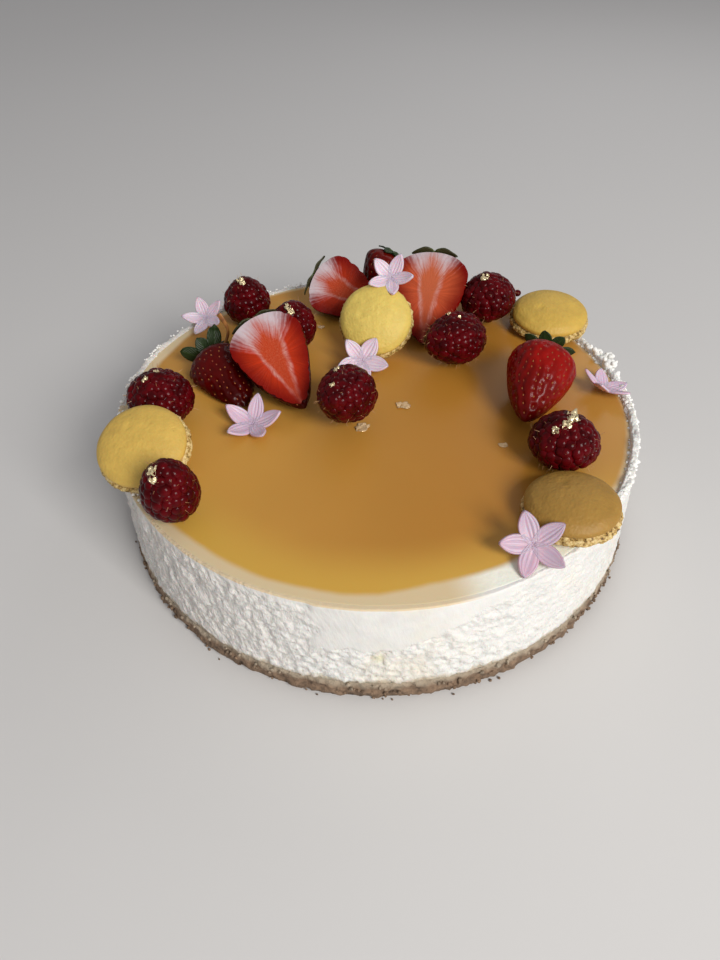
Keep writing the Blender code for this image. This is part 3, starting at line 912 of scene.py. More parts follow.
def model_filling(sizes):
    """The baked filling with its craggy side and crumbly rim."""
    foot = BISCUIT_HEIGHT + 0.3 * MM
    wall_top = CAKE_HEIGHT - 1.2 * MM
    rows = sizes.wall_rows
    rings = []
    for row in range(rows + 1):
        height = foot + (wall_top - foot) * row / rows
        rings.append((wall_radius(height), height))
    rim = [
        (wall_radius(wall_top), wall_top),
        (RIM_RADIUS - 0.15 * MM, CAKE_HEIGHT - 0.65 * MM),
        (RIM_RADIUS - 0.7 * MM, CAKE_HEIGHT - 0.24 * MM),
        (RIM_RADIUS - 1.5 * MM, CAKE_HEIGHT - 0.16 * MM),
        (JELLY_RADIUS + 1.0 * MM, CAKE_HEIGHT - 0.34 * MM),
        (JELLY_RADIUS + 0.3 * MM, CAKE_HEIGHT - 0.7 * MM),
    ]
    rings += ease(rim, 3)[1:]
    well = 43.5 * MM
    rings += [(JELLY_RADIUS + 0.3 * MM, well), (50.0 * MM, well), (5.0 * MM, well)]
    filling = turn_up(rings, sizes.wall_steps)
    for corner in filling.data.vertices:
        x, y, z = corner.co
        radius = math.hypot(x, y)
        if radius < 0.5 * RIM_RADIUS:
            continue
        if z > wall_top:
            level = min(z, JELLY_TOP - 0.05 * MM)
            corner.co.z += (level - z) * fade(-y / radius, 0.3, 0.7)
            corner.co.z += rim_relief(x, y) * fade(z, wall_top, CAKE_HEIGHT - 0.3 * MM)
        swell = back_left_bulge(x, y, z)
        if z > foot + 0.2 * MM:
            outside = fade(radius, JELLY_RADIUS + 1.4 * MM, RIM_RADIUS - 0.4 * MM)
            swell += outside * side_relief(x, y, z, sizes.crag_depth)
        push_out(corner, swell)
    kinds = []
    for corner in filling.data.vertices:
        x, y, z = corner.co
        angle = math.atan2(y, x)
        kinds.append((max(smooth_band(angle, z), top_calm(angle, z)), furrowed(angle)))
    write_map(filling, "side", kinds)
    wear(filling, cream_look(sizes))
    return keep(filling, "craggy_filling", "cheesecake", "cheesecake_filling")


def model_biscuit(sizes):
    """The biscuit base, its edge broken into crumbs."""
    top = BISCUIT_HEIGHT
    outline = [
        (FOOT_RADIUS - 0.8 * MM, 0.0),
        (FOOT_RADIUS + 0.2 * MM, 0.9 * MM),
        (wall_radius(top) + 0.7 * MM, 0.45 * top),
        (wall_radius(top) + 0.2 * MM, top - 1.2 * MM),
        (wall_radius(top) - 1.0 * MM, top),
    ]
    rings = ease(outline, 6) + [(50.0 * MM, top), (5.0 * MM, top)]
    biscuit = turn_up(rings, sizes.wall_steps)
    for corner in biscuit.data.vertices:
        x, y, z = corner.co
        if math.hypot(x, y) > 0.9 * FOOT_RADIUS and 0.2 * MM < z < top - 0.1 * MM:
            spot = Vector((x, y, z))
            crumb = 0.75 * noise.fractal(spot * 240.0, 0.7, 2.0, 4)
            crumb += 1.0 * (0.4 - noise.voronoi(spot * 340.0)[0][0])
            push_out(corner, (crumb - 0.1) * MM)
    wear(biscuit, biscuit_look(sizes, "crushed_biscuit", 0.35))
    return keep(biscuit, "crumbly_biscuit", "biscuit", "biscuit_base")


def model_jelly(sizes):
    """The mango jelly, its edge running thin into the rim."""
    outline = [
        (JELLY_RADIUS - 0.3 * MM, JELLY_FOOT),
        (JELLY_RADIUS, JELLY_TOP - 1.0 * MM),
        (JELLY_RADIUS + 2.1 * MM, JELLY_TOP - 0.5 * MM),
        (JELLY_RADIUS + 2.0 * MM, JELLY_TOP - 0.03 * MM),
        (JELLY_RADIUS + 1.2 * MM, JELLY_TOP - 0.01 * MM),
        (JELLY_RADIUS + 0.2 * MM, JELLY_TOP),
        (JELLY_RADIUS - 1.2 * MM, JELLY_TOP),
    ]
    rings = ease(outline, 2) + [(r * MM, JELLY_TOP) for r in (90.0, 78.0, 60.0, 40.0, 20.0, 4.0)]
    jelly = turn_up(rings, 360)
    for corner in jelly.data.vertices:
        x, y, z = corner.co
        if math.hypot(x, y) > 0.5 * JELLY_RADIUS:
            swell = back_left_bulge(x, y, min(z, JELLY_FOOT))
            swell += 0.15 * MM * noise.noise(Vector((x, y, 0.0)) * 140.0)
            push_out(corner, swell)
    wear(jelly, jelly_look(sizes))
    return keep(jelly, "mango_glaze", "jelly", "mango_jelly")


def scattered(patterns, places):
    """Copies of grains at places, joined; a place is (matrix, which pattern)."""
    copies = [copy_of(patterns[which % len(patterns)], place) for place, which in places]
    for pattern in patterns:
        remove(pattern)
    return join(copies)


def model_cream_crumbs(sizes):
    """Lumps and crumbs of cream along the rim, most of them at the right."""
    rng = random.Random(5)
    patterns = [grain(1.0, 0.34, seed) for seed in range(6)]
    places = []
    for number, (x, y, z, size) in enumerate(RIM_LUMPS):
        for part in range(5):
            shift = Vector([rng.uniform(-0.34, 0.34) * size for axis in range(3)])
            spot = (Vector((x, y, z)) + shift * (1.0 if part else 0.0)) * MM
            scale = size * (0.72 if part == 0 else rng.uniform(0.3, 0.5)) * MM
            own = any_way(rng)
            places.append((Matrix.Translation(spot) @ own @ Matrix.Scale(scale, 4), number + part))
    for crumb in range(sizes.cream_crumbs):
        angle = math.radians(rng.triangular(-44.0, 66.0, 6.0))
        reach = rng.triangular(96.6, 100.5, 98.8) * MM
        size = rng.triangular(0.6, 2.2, 1.0) * MM
        if crumb % 6 == 0:
            angle = math.radians(rng.uniform(100.0, 215.0))
            size *= 0.7
        spot = Vector((reach * math.cos(angle), reach * math.sin(angle), 0.0))
        reach_out = 1.0 + back_left_bulge(spot.x, spot.y, CAKE_HEIGHT) / reach
        spot *= reach_out
        drop = fade(reach, 99.4 * MM, 100.6 * MM) * rng.uniform(0.3, 1.6) * MM
        ridge = 0.2 * MM + 1.2 * MM * fade(reach, 96.9 * MM, 98.4 * MM)
        spot.z = JELLY_TOP + ridge - 0.2 * size - drop
        own = any_way(rng)
        flat = Matrix.Diagonal((size, size, 0.7 * size, 1.0))
        places.append((Matrix.Translation(spot) @ flat @ own, crumb))
    crumbs = scattered(patterns, places)
    wear(crumbs, cream_crumb_look(sizes))
    return keep(crumbs, "cream_crumbs", "cheesecake")


def model_biscuit_crumbs(sizes):
    """Crumbs that broke off the biscuit, on its edge and round its foot."""
    rng = random.Random(8)
    patterns = [grain(1.0, 0.5, 20 + seed) for seed in range(5)]
    places = []
    for crumb in range(sizes.biscuit_crumbs):
        angle = rng.uniform(0.0, math.tau)
        if crumb % 16:
            reach = rng.triangular(102.8, 103.6, 103.1) * MM
            height = rng.uniform(0.4, 7.6) * MM
            size = rng.triangular(0.6, 1.7, 0.9) * MM
        else:
            reach = rng.triangular(103.2, 105.2, 103.4) * MM
            size = rng.triangular(0.4, 1.3, 0.5) * MM
            height = 0.36 * size
        spot = Vector((reach * math.cos(angle), reach * math.sin(angle), height))
        own = any_way(rng)
        places.append((Matrix.Translation(spot) @ own @ Matrix.Scale(size, 4), crumb))
    crumbs = scattered(patterns, places)
    for corner in crumbs.data.vertices:
        corner.co.z = max(corner.co.z, 0.02 * MM)
    wear(crumbs, biscuit_look(sizes, "biscuit_crumb", 0.0))
    return keep(crumbs, "biscuit_crumbs", "biscuit")


# Raspberries


def raspberry_spot(width, height, z, angle):
    """A point on a raspberry's skin, at a height from -1 to 1 and an angle."""
    side = 0.5 * width * math.sqrt(max(0.0, 1.0 - z * z)) * (1.0 - 0.16 * z - 0.08 * z * z)
    return Vector((side * math.cos(angle), side * math.sin(angle), 0.5 * height * z)) * MM


def drupelet_rows(width, height, size):
    """Heights from -1 to 1 of rows a drupelet apart along the skin, from the tip down."""
    rows, walked, before = [0.999], 0.0, raspberry_spot(width, height, 0.999, 0.0)
    for step in range(1, 400):
        z = math.cos(math.pi * step / 400.0)
        if z < -0.93:
            break
        here = raspberry_spot(width, height, z, 0.0)
        walked += (here - before).length
        before = here
        if walked > 0.84 * size * MM:
            rows.append(z)
            walked = 0.0
    return rows


def model_raspberry(number, row, drupelet, hair, skin, fuzz, sizes):
    """One raspberry: staggered drupelets over a plain body, and fine hairs."""
    width, height, x, y, heading, tilt = row[:6]
    place = stand(x, y, ALOFT, heading, tilt)
    rng = random.Random(100 + number)
    size = sizes.drupelet_size / MM
    ball = bpy.ops.mesh.primitive_uv_sphere_add
    body = primitive(ball, segments=24, ring_count=16, radius=1.0)
    for corner in body.data.vertices:
        x, y, z = corner.co
        corner.co = raspberry_spot(width, height, max(z, -0.9), math.atan2(y, x)) * 0.955
    things = [body]
    hairs = []
    for tier, z in enumerate(drupelet_rows(width, height, size)):
        around = math.tau * raspberry_spot(width, height, z, 0.0).xy.length
        count = max(1 if tier == 0 else 4, round(around / (size * 0.97 * MM)))
        for k in range(count):
            angle = math.tau * (k + 0.5 * (tier % 2)) / count + rng.uniform(-0.09, 0.09)
            level = z + rng.uniform(-0.035, 0.035)
            spot = raspberry_spot(width, height, min(level, 1.0), angle)
            above = raspberry_spot(width, height, min(level + 0.04, 1.0), angle)
            beside = raspberry_spot(width, height, min(level, 1.0), angle + 0.05)
            outward = (beside - spot).cross(above - spot)
            outward = outward.normalized() if outward.length > 1e-12 else Vector((0, 0, 1))
            if outward.dot(spot) < 0.0:
                outward = -outward
            if tier == 0:
                outward = Vector((0.0, 0.0, 1.0))
            wide = size * MM * rng.uniform(0.57, 0.72)
            stretch = Matrix.Diagonal((wide, wide * rng.uniform(0.9, 1.16), wide * 0.8, 1.0))
            centre = spot - outward * rng.uniform(0.28, 0.38) * size * MM
            things.append(copy_of(drupelet, facing(centre, outward) @ stretch))
            if rng.random() < 0.3:
                tip = centre + outward * wide * 0.9
                sway = Vector([rng.uniform(-0.6, 0.6) for axis in range(3)])
                length = Matrix.Scale(rng.uniform(0.6, 1.1), 4)
                hairs.append(copy_of(hair, facing(tip, (outward + sway).normalized()) @ length))
    berry = join(things)
    wear(berry, skin)
    whiskers = join(hairs)
    wear(whiskers, fuzz)
    berry = join([berry, whiskers])
    berry.data.transform(place)
    node = f"raspberry_{number:02d}"
    settle(berry, node)
    return keep(berry, f"ripe_{node}", "raspberry", node)


def model_raspberries(sizes):
    """All the raspberries, and the scrap of one behind a shell."""
    skin, fuzz = raspberry_look(sizes), hair_look()
    drupelet = primitive(bpy.ops.mesh.primitive_ico_sphere_add, subdivisions=2, radius=1.0)
    for corner in drupelet.data.vertices:
        if corner.co.z > 0.0:
            corner.co.z *= 1.0 - 0.12 * corner.co.z
    bpy.ops.object.shade_smooth()
    hair = primitive(
        bpy.ops.mesh.primitive_cone_add,
        vertices=4,
        radius1=0.09 * MM,
        radius2=0.03 * MM,
        depth=1.8 * MM,
        location=(0, 0, 0.7 * MM),
    )
    bpy.ops.object.transform_apply(location=True)
    for number, row in enumerate(RASPBERRIES, start=1):
        model_raspberry(number, row, drupelet, hair, skin, fuzz, sizes)
    rng = random.Random(71)
    bits = []
    for bit in range(7):
        spot = Vector((66.0 + rng.uniform(-3, 3), 72.0 + rng.uniform(-3, 3), 49.0 + bit % 3)) * MM
        bits.append(copy_of(drupelet, Matrix.Translation(spot) @ Matrix.Scale(1.7 * MM, 4)))
    scrap = join(bits)
    wear(scrap, skin)
    keep(scrap, "raspberry_scrap", "raspberry")
    remove(drupelet)
    remove(hair)


# Strawberries


def berry_radius(width, length, height):
    """Radius of a strawberry at a height above its tip, in millimetres."""
    knee = length * (1.0 - SHOULDER)
    if height > knee:
        up = min((height - knee) / (length - knee), 1.0)
        return 0.5 * width * math.sqrt(max(0.0, 1.0 - up * up))
    t = max(height / knee, 0.0)
    return 0.5 * width * (1.0 - (1.0 - t) ** 1.5) ** TIP_FULLNESS


def berry_outline(width, length):
    """(radius, height) rings of a strawberry from the tip up, closer together at its ends."""
    rings = []
    rows = 64
    for row in range(1, rows):
        height = length * 0.5 * (1.0 - math.cos(math.pi * row / rows))
        rings.append((max(berry_radius(width, length, height), 0.05) * MM, height * MM))
    return rings


def seed_spots(width, length, seed, spacing):
    """Points on a strawberry's skin in staggered rows, with their outward directions."""
    rng = random.Random(seed)
    spots = []
    height, row = 0.05 * length, 0
    while height < 0.95 * length:
        radius = berry_radius(width, length, height)
        count = max(3, round(math.tau * radius / spacing))
        for k in range(count):
            angle = math.tau * (k + 0.5 * (row % 2)) / count + rng.uniform(-0.09, 0.09)
            level = height + rng.uniform(-0.3, 0.3)
            r = berry_radius(width, length, level)
            rise = berry_radius(width, length, level + 0.2) - berry_radius(width, length, level - 0.2)
            outward = Vector((math.cos(angle), math.sin(angle), -rise / 0.4)).normalized()
            spots.append((Vector((r * math.cos(angle), r * math.sin(angle), level)) * MM, outward))
        height += 0.72 * spacing
        row += 1
    return spots


def mark_berry(thing, width, length):
    """The map that skin and flesh read: across the berry and along it, 0 to 1."""
    while thing.data.uv_layers:
        thing.data.uv_layers.remove(thing.data.uv_layers[0])
    spots = [corner.co / MM for corner in thing.data.vertices]
    write_map(thing, "berry", [(spot.x / width + 0.5, spot.z / length) for spot in spots])


def model_strawberry(number, row, seed_pattern, skin, flesh, straw, sizes):
    """One strawberry: dimpled skin with seeds and, if halved, its cut face."""
    width, length, cut_at, x, y, z, heading, tilt, spin = row
    berry = turn_up(berry_outline(width, length), 112)
    spots = seed_spots(width, length, 40 + number, sizes.seed_spacing / MM)
    tree = kdtree.KDTree(len(spots))
    for index, (spot, outward) in enumerate(spots):
        tree.insert(spot, index)
    tree.balance()
    rough = []
    for corner in berry.data.vertices:
        spot, index, gap = tree.find(corner.co)
        outward = spots[index][1]
        dimple = math.exp(-((gap / (0.66 * MM)) ** 2))
        swell = fade(gap, 0.5 * MM, 1.9 * MM)
        lump = noise.noise(corner.co * 70.0 + Vector((width, length, 0.0)))
        moved = corner.co + outward * (0.30 * swell - 0.46 * dimple) * MM
        moved.x *= 1.0 + 0.05 * lump
        moved.y *= 1.0 + 0.05 * lump
        rough.append(moved)
    for corner, moved in zip(berry.data.vertices, rough):
        corner.co = moved
    flat = -1000.0 if cut_at is None else -cut_at * MM
    if cut_at is not None:
        activate(berry)
        bpy.ops.object.mode_set(mode="EDIT")
        bpy.ops.mesh.select_all(action="SELECT")
        bpy.ops.mesh.bisect(
            plane_co=(0.0, flat, 0.0),
            plane_no=(0.0, -1.0, 0.0),
            use_fill=True,
            clear_outer=True,
            threshold=0.00001,
        )
        bpy.ops.mesh.select_mode(type="FACE")
        bpy.ops.mesh.inset(thickness=0.4 * MM, depth=0.0)
        bpy.ops.mesh.select_mode(type="VERT")
        bpy.ops.object.mode_set(mode="OBJECT")
    wear(berry, skin, flesh, straw)
    for polygon in berry.data.polygons:
        if cut_at is not None and polygon.normal.y < -0.9 and abs(polygon.center.y - flat) < 1e-5:
            polygon.material_index = 1
            polygon.use_smooth = False
    mark_berry(berry, width, length)
    seeds = []
    for spot, outward in spots:
        lump = noise.noise(spot * 70.0 + Vector((width, length, 0.0)))
        spot = Vector((spot.x * (1.0 + 0.05 * lump), spot.y * (1.0 + 0.05 * lump), spot.z))
        if spot.y > flat + 0.7 * MM:
            up = Vector((0.0, 0.0, 1.0)) - outward * outward.z
            side = up.cross(outward).normalized()
            axes = Matrix((side, outward.cross(side), outward)).transposed().to_4x4()
            seeds.append(copy_of(seed_pattern, Matrix.Translation(spot - outward * 0.3 * MM) @ axes))
    pips = join(seeds)
    wear(pips, straw)
    mark_berry(pips, width, length)
    berry = join([berry, pips])
    berry.data.transform(stand(x, y, z, heading, tilt, spin))
    node = f"strawberry_{number:02d}"
    return keep(berry, f"ripe_{node}", "strawberry", node)


def model_strawberries(sizes):
    """All the strawberries, halved and whole."""
    red = tuple(sizes.strawberry_colour)
    fresh = strawberry_look("strawberry_skin", red, 0.08)
    # painted shade: a darker copy of the skin for the berries that lie in shade
    ripe = strawberry_look("strawberry_dark_skin", shade(red, 0.36), 0.06)
    straw = seed_look()
    seed = primitive(bpy.ops.mesh.primitive_ico_sphere_add, subdivisions=1, radius=1.0)
    for corner in seed.data.vertices:
        x, y, z = corner.co
        corner.co = Vector((0.32 * x * (1.0 - 0.3 * y), 0.52 * y, 0.22 * z)) * MM
    bpy.ops.object.shade_smooth()
    orange = tuple(sizes.flesh_colour)
    salmon = tinted(orange, 1.04, 2.5, 4.0)
    cuts = {
        1: flesh_look("flesh_01", 0.20, 0.0, 0.5, orange),
        2: flesh_look("flesh_02", 0.22, 0.09, 0.75, shade(orange, 0.96)),
        3: flesh_look("flesh_03", 0.20, 0.08, 0.6, shade(orange, 0.84)),
        4: flesh_look("flesh_04", 0.17, 0.03, 0.75, salmon),
    }
    for number, row in enumerate(STRAWBERRIES, start=1):
        skin = fresh if number in (4, 5) else ripe
        model_strawberry(number, row, seed, skin, cuts.get(number, skin), straw, sizes)
    remove(seed)
    model_stalk()


def model_stalk():
    """The thin dried stalk that stands behind the leaves of the first strawberry."""
    bends = [(-67.0, 28.5, 51.0), (-62.0, 29.0, 57.5), (-61.0, 30.0, 63.0), (-63.8, 31.0, 69.2)]
    path = ease(bends, 5)
    circle = bpy.ops.mesh.primitive_circle_add
    stalk = primitive(circle, vertices=14, radius=1.0, fill_type="NGON")
    stalk.data.transform(Matrix.Scale(MM, 4))
    bpy.ops.object.mode_set(mode="EDIT")
    for step in range(len(path) - 1):
        bpy.ops.mesh.extrude_region_move(TRANSFORM_OT_translate={"value": (0.0, 0.0, 1.0 * MM)})
    bpy.ops.object.mode_set(mode="OBJECT")
    spots = [Vector(spot) * MM for spot in path]
    for corner in stalk.data.vertices:
        step = min(round(corner.co.z / MM), len(path) - 1)
        run = (spots[min(step + 1, len(path) - 1)] - spots[max(step - 1, 0)]).normalized()
        side = run.cross(Vector((0.0, 1.0, 0.0))).normalized()
        wide = 0.62 + 0.5 * fade(step, len(path) - 7, len(path) - 1)
        ridge = 1.0 + 0.12 * math.sin(3.0 * math.atan2(corner.co.y, corner.co.x) + 0.5 * step)
        aside = side * corner.co.x * wide * ridge
        corner.co = spots[step] + aside + run.cross(side) * corner.co.y * 0.6 * ridge
    finish_with(stalk, "SUBSURF", levels=1, render_levels=1)
    activate(stalk)
    bpy.ops.object.mode_set(mode="EDIT")
    bpy.ops.mesh.select_all(action="SELECT")
    bpy.ops.mesh.normals_make_consistent(inside=False)
    bpy.ops.object.mode_set(mode="OBJECT")
    bpy.ops.object.shade_smooth()
    wear(stalk, stalk_look())
    return keep(stalk, "berry_stalk", "leaf")


def model_calyx(number, look):
    """The leaves on one strawberry: broad, creased and curled, each a thin sheet."""
    width, length = STRAWBERRIES[number - 1][:2]
    halved = STRAWBERRIES[number - 1][2] is not None
    leaves, reach, curl, half_width, oval = CALYXES[number - 1]
    rng = random.Random(300 + number)
    sweep = math.pi if halved else math.tau

    def height_at(out):
        share = min(out / (0.5 * width), 0.98)
        skin = length - length * SHOULDER * (1.0 - math.sqrt(1.0 - share * share))
        return skin + 1.1 + curl * (out / reach) ** 2

    made = []
    for k in range(leaves):
        angle = sweep * (k + 0.5) / leaves + rng.uniform(-0.06, 0.06)
        if halved and not oval:
            angle = 0.10 + (sweep - 0.20) * k / (leaves - 1)
        own = reach * (rng.uniform(0.74, 1.08) if oval else rng.uniform(0.94, 1.02))
        sway = rng.uniform(-0.5, 0.5)

        def shape(across, along):
            out = 0.4 + (own - 0.4) * along
            full = max(math.sin(math.pi * along ** 0.85), 0.0) ** 0.75
            if oval:
                full = max(math.sin(math.pi * along ** 1.4), 0.0) ** 0.6
            broad = half_width * (full * 0.95 + 0.2 * (1.0 - along))
            side = across * broad + sway * along * along
            crease = 0.35 * (1.0 - abs(across)) * full
            ripple = 0.22 * math.sin(along * 9.0 + across * 2.0 + k)
            lift = height_at(out) - crease + ripple * abs(across)
            return Vector((out, side, lift)) * MM

        leaf = thin_sheet(9, 17, shape, 0.45 * MM)
        leaf.data.transform(Matrix.Rotation(angle, 4, "Z"))
        made.append(leaf)
    calyx = join(made)
    x, y, z, heading, tilt, spin = STRAWBERRIES[number - 1][3:]
    calyx.data.transform(stand(x, y, z, heading, tilt, spin))
    wear(calyx, look)
    node = f"calyx_{number:02d}"
    return keep(calyx, f"green_{node}", "leaf", node)


# Macaron shells and sugar flowers


def model_shell(number, row, look):
    """One macaron shell: pocked dome, narrow waist and ruffled foot."""
    spread, x, y, heading, tilt = row[:5]
    radius = SHELL_RADIUS * spread
    dome = [
        (0.90 * radius, 0.0),
        (0.97 * radius, 0.5 * MM),
        (0.99 * radius, 1.5 * MM),
        (0.97 * radius, 2.7 * MM),
        (0.905 * radius, 3.4 * MM),
        (0.93 * radius, 4.1 * MM),
        (0.93 * radius, SHELL_HEIGHT - 4.9 * MM),
        (0.86 * radius, SHELL_HEIGHT - 3.5 * MM),
        (0.75 * radius, SHELL_HEIGHT - 2.3 * MM),
        (0.46 * radius, SHELL_HEIGHT - 0.7 * MM),
        (0.20 * radius, SHELL_HEIGHT - 0.12 * MM),
        (0.02 * radius, SHELL_HEIGHT),
    ]
    rings = [(0.3 * radius, 0.0), (0.7 * radius, 0.0)] + ease(dome, 6)
    shell = turn_up(rings, 144)
    rng = random.Random(500 + number)
    write_map(shell, "shell", [(0.5, corner.co.z / SHELL_HEIGHT) for corner in shell.data.vertices])
    pores = []
    for pore in range(26):
        angle, out = rng.uniform(0.0, math.tau), math.sqrt(rng.random()) * 0.88 * radius
        pores.append((out * math.cos(angle), out * math.sin(angle), rng.triangular(0.3, 0.75, 0.4)))
    pores.append((-0.05 * radius, 0.36 * radius, 1.5))
    for corner in shell.data.vertices:
        a, b, c = corner.co
        out = math.hypot(a, b)
        spot = Vector((a, b, c + number))
        if out > 0.8 * radius and 0.1 * MM < c < 3.6 * MM:
            ruffle = 0.55 * noise.fractal(spot * 520.0, 0.6, 2.0, 3)
            ruffle += 0.7 * (0.35 - noise.voronoi(spot * 620.0)[0][0]) - 0.15
            push_out(corner, ruffle * MM)
        elif c > 3.4 * MM:
            lift = 0.16 * noise.noise(spot * 150.0) + 0.05 * noise.noise(spot * 480.0)
            for px, py, size in pores:
                gap = math.hypot(a - px, b - py) / (size * MM)
                if gap < 3.0:
                    lift -= 0.32 * size * math.exp(-gap * gap)
            corner.co.z += lift * MM
    wear(shell, look)
    shell.data.transform(stand(x, y, ALOFT, heading, tilt, 40.0 * number))
    node = f"macaron_shell_{number:02d}"
    settle(shell, node)
    return keep(shell, f"baked_{node}", "macaron", node)


def model_flower(number, row, look):
    """One sugar flower: five cupped, ribbed petals that meet in a throat."""
    scale, cup, x, y, z, heading, tilt, spin = row
    length = PETAL_LENGTH * scale
    rng = random.Random(700 + number)
    made = []
    for k in range(5):
        bend = rng.uniform(-0.4, 0.4) * MM
        long = length * rng.uniform(0.95, 1.03)
        flare = rng.uniform(0.92, 1.08)

        def shape(across, along):
            out = long * along
            swell = max(math.sin(math.pi * (0.12 + 0.88 * along ** 1.15)), 0.0) ** 0.8
            broad = 3.1 * MM * scale * flare * swell + 0.12 * MM
            side = across * broad
            rib = 0.13 * MM * math.cos(across * math.pi * 4.0) * swell
            crease = 0.5 * MM * (1.0 - abs(across)) * swell
            lift = cup * MM * (out / length) ** 1.6 - crease + rib + bend * along * along
            return Vector((out, side, lift))

        petal = thin_sheet(16, 20, shape, 0.8 * MM)
        petal.data.transform(Matrix.Rotation(math.tau * (k + 0.5) / 5.0, 4, "Z"))
        made.append(petal)
    flower = join(made)
    flower.data.transform(stand(x, y, z, heading, tilt, spin))
    wear(flower, look)
    node = f"sugar_flower_{number:02d}"
    return keep(flower, f"pink_{node}", "sugar", node)


# Gold leaf


def model_scrap(size, seed):
    """A crumpled scrap of gold leaf about the origin, ragged at its edge."""
    rng = random.Random(seed)
    ragged = [rng.uniform(0.55, 1.15) for corner in range(12)]

    def shape(across, along):
        u, v = across, 2.0 * along - 1.0
        angle = math.atan2(v, u)
        place = (angle / math.tau + 0.5) * 12.0
        low = ragged[int(place) % 12]
        high = ragged[(int(place) + 1) % 12]
        reach = max(abs(u), abs(v)) * (low + (high - low) * (place % 1.0)) * 0.5 * size
        spot = Vector((reach * math.cos(angle), 0.8 * reach * math.sin(angle), 0.0))
        fold = noise.fractal(Vector((u * 1.7 + seed, v * 1.7, 0.3 * seed)), 0.6, 2.2, 3)
        spot.z = 0.34 * size * fold
        return spot * MM

    return thin_sheet(9, 9, shape, 0.07 * MM)


def model_gold(sizes):
    """Every scrap of gold leaf, on the berries and on the jelly."""
    scraps, settled = [], []
    for number, row in enumerate(RASPBERRIES, start=1):
        berry = bpy.data.objects[f"ripe_raspberry_{number:02d}"]
        low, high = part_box(f"raspberry_{number:02d}")
        middle = 0.5 * (Vector(low) + Vector(high))
        for turned, (x, y, z, size) in enumerate(row[6]):
            aim = Vector((x, y, z)).normalized()
            start = middle + aim * 40.0 * MM
            found, spot = berry.ray_cast(start, -aim)[:2]
            if not found:
                raise RuntimeError(f"no berry under the gold of raspberry {number}")
            seed = 13 * number + turned
            scrap = model_scrap(1.25 * size, seed)
            scrap.data.transform(facing(spot + aim * 0.25 * MM, aim, seed * 1.3))
            scraps.append(scrap)
    for number, (x, y, size) in enumerate(JELLY_FLAKES):
        scrap = model_scrap(1.5 * size, 90 + number)
        flat = Matrix.Diagonal((1.0, 1.0, 0.3, 1.0))
        scrap.data.transform(Matrix.Translation((x * MM, y * MM, JELLY_TOP + 0.25 * MM)) @ flat)
        settled.append(scrap)
    gold = join(scraps)
    wear(gold, gold_look("gold_leaf", tuple(sizes.gold_colour), 0.6))
    keep(gold, "gold_scraps", "gold_leaf")
    lying = join(settled)
    wear(lying, gold_look("gold_leaf_lying", (0.80, 0.55, 0.30), 0.25))
    keep(lying, "gold_on_glaze", "gold_leaf")


# The stage


def soft_light(name, spot, aim, size, power, colour):
    """A square area light at a spot, pointed at another."""
    lamp = bpy.data.lights.new(name, "AREA")
    lamp.shape = "SQUARE"
    lamp.size = size
    lamp.energy = power
    lamp.color = colour
    thing = bpy.data.objects.new(name, lamp)
    bpy.context.scene.collection.objects.link(thing)
    thing.location = spot
    thing.rotation_euler = (Vector(aim) - Vector(spot)).to_track_quat("-Z", "Y").to_euler()
    return thing


def set_camera():
    """The camera that looks down at the cake from the front, turned a little about its axis."""
    data = bpy.data.cameras.new("front_above")
    data.sensor_width = FRAME_HEIGHT
    data.lens = LENS
    data.clip_start = 0.01
    camera = bpy.data.objects.new("front_above", data)
    bpy.context.scene.collection.objects.link(camera)
    right, up = Vector(CAMERA_RIGHT), Vector(CAMERA_UP)
    back = right.cross(up)
    camera.matrix_world = Matrix((right, up, back)).transposed().to_4x4()
    camera.location = CAMERA_SPOT
    bpy.context.scene.camera = camera


def model_stage():
    """Pale floor, soft lights and camera."""
    floor = primitive(bpy.ops.mesh.primitive_plane_add, size=6.0)
    floor.name = "pale_floor"
    look = Look("pale_floor", Roughness=0.75)
    look.colour(look.mix(look.noise(2.0), (0.64, 0.625, 0.61), (0.67, 0.655, 0.64)))
    wear(floor, look.material)
    world = bpy.context.scene.world or bpy.data.worlds.new("room")
    bpy.context.scene.world = world
    world.use_nodes = True
    sky = world.node_tree.nodes["Background"]
    sky.inputs["Color"].default_value = (0.97, 0.97, 1.0, 1.0)
    sky.inputs["Strength"].default_value = 0.34
    soft_light("window", (0.55, -0.84, 0.75), (0.0, 0.0, 0.03), 0.48, 12.9, (1.0, 0.985, 0.96))
    soft_light("far_window", (0.34, 0.68, 0.58), (0.08, 0.0, 0.047), 0.30, 0.5, (0.95, 0.97, 1.0))
    bpy.context.scene.view_settings.view_transform = "Standard"
    set_camera()


# Panel, operators and settings


class CheesecakeSizes(bpy.types.PropertyGroup):
    """Sizes of the cake's fine detail."""

    crag_depth: FloatProperty(
        name="Crag depth",
        description="How deep the side's crags are",
        default=1.0,
        min=0.0,
        max=1.5,
        subtype="FACTOR",
    )
    wall_steps: IntProperty(
        name="Steps round the side", description="Corners round the cake", default=900, min=120
    )
    wall_rows: IntProperty(
        name="Rows up the side", description="Corners up the filling", default=64, min=8
    )
    cream_crumbs: IntProperty(
        name="Cream crumbs", description="Crumbs along the rim", default=900, min=10
    )
    biscuit_crumbs: IntProperty(
        name="Biscuit crumbs", description="Crumbs on and round the biscuit", default=420, min=10
    )
    drupelet_size: FloatProperty(
        name="Drupelet size",
        description="Width of one bead of a raspberry",
        default=3.4 * MM,
        min=2.0 * MM,
        unit="LENGTH",
    )
    seed_spacing: FloatProperty(
        name="Seed spacing",
        description="Distance between a strawberry's seeds",
        default=3.5 * MM,
        min=2.0 * MM,
        unit="LENGTH",
    )


def colour_setting(name, description, default):
    """A colour that a user can change."""
    return FloatVectorProperty(
        name=name, description=description, default=default, subtype="COLOR", min=0.0, max=1.0
    )


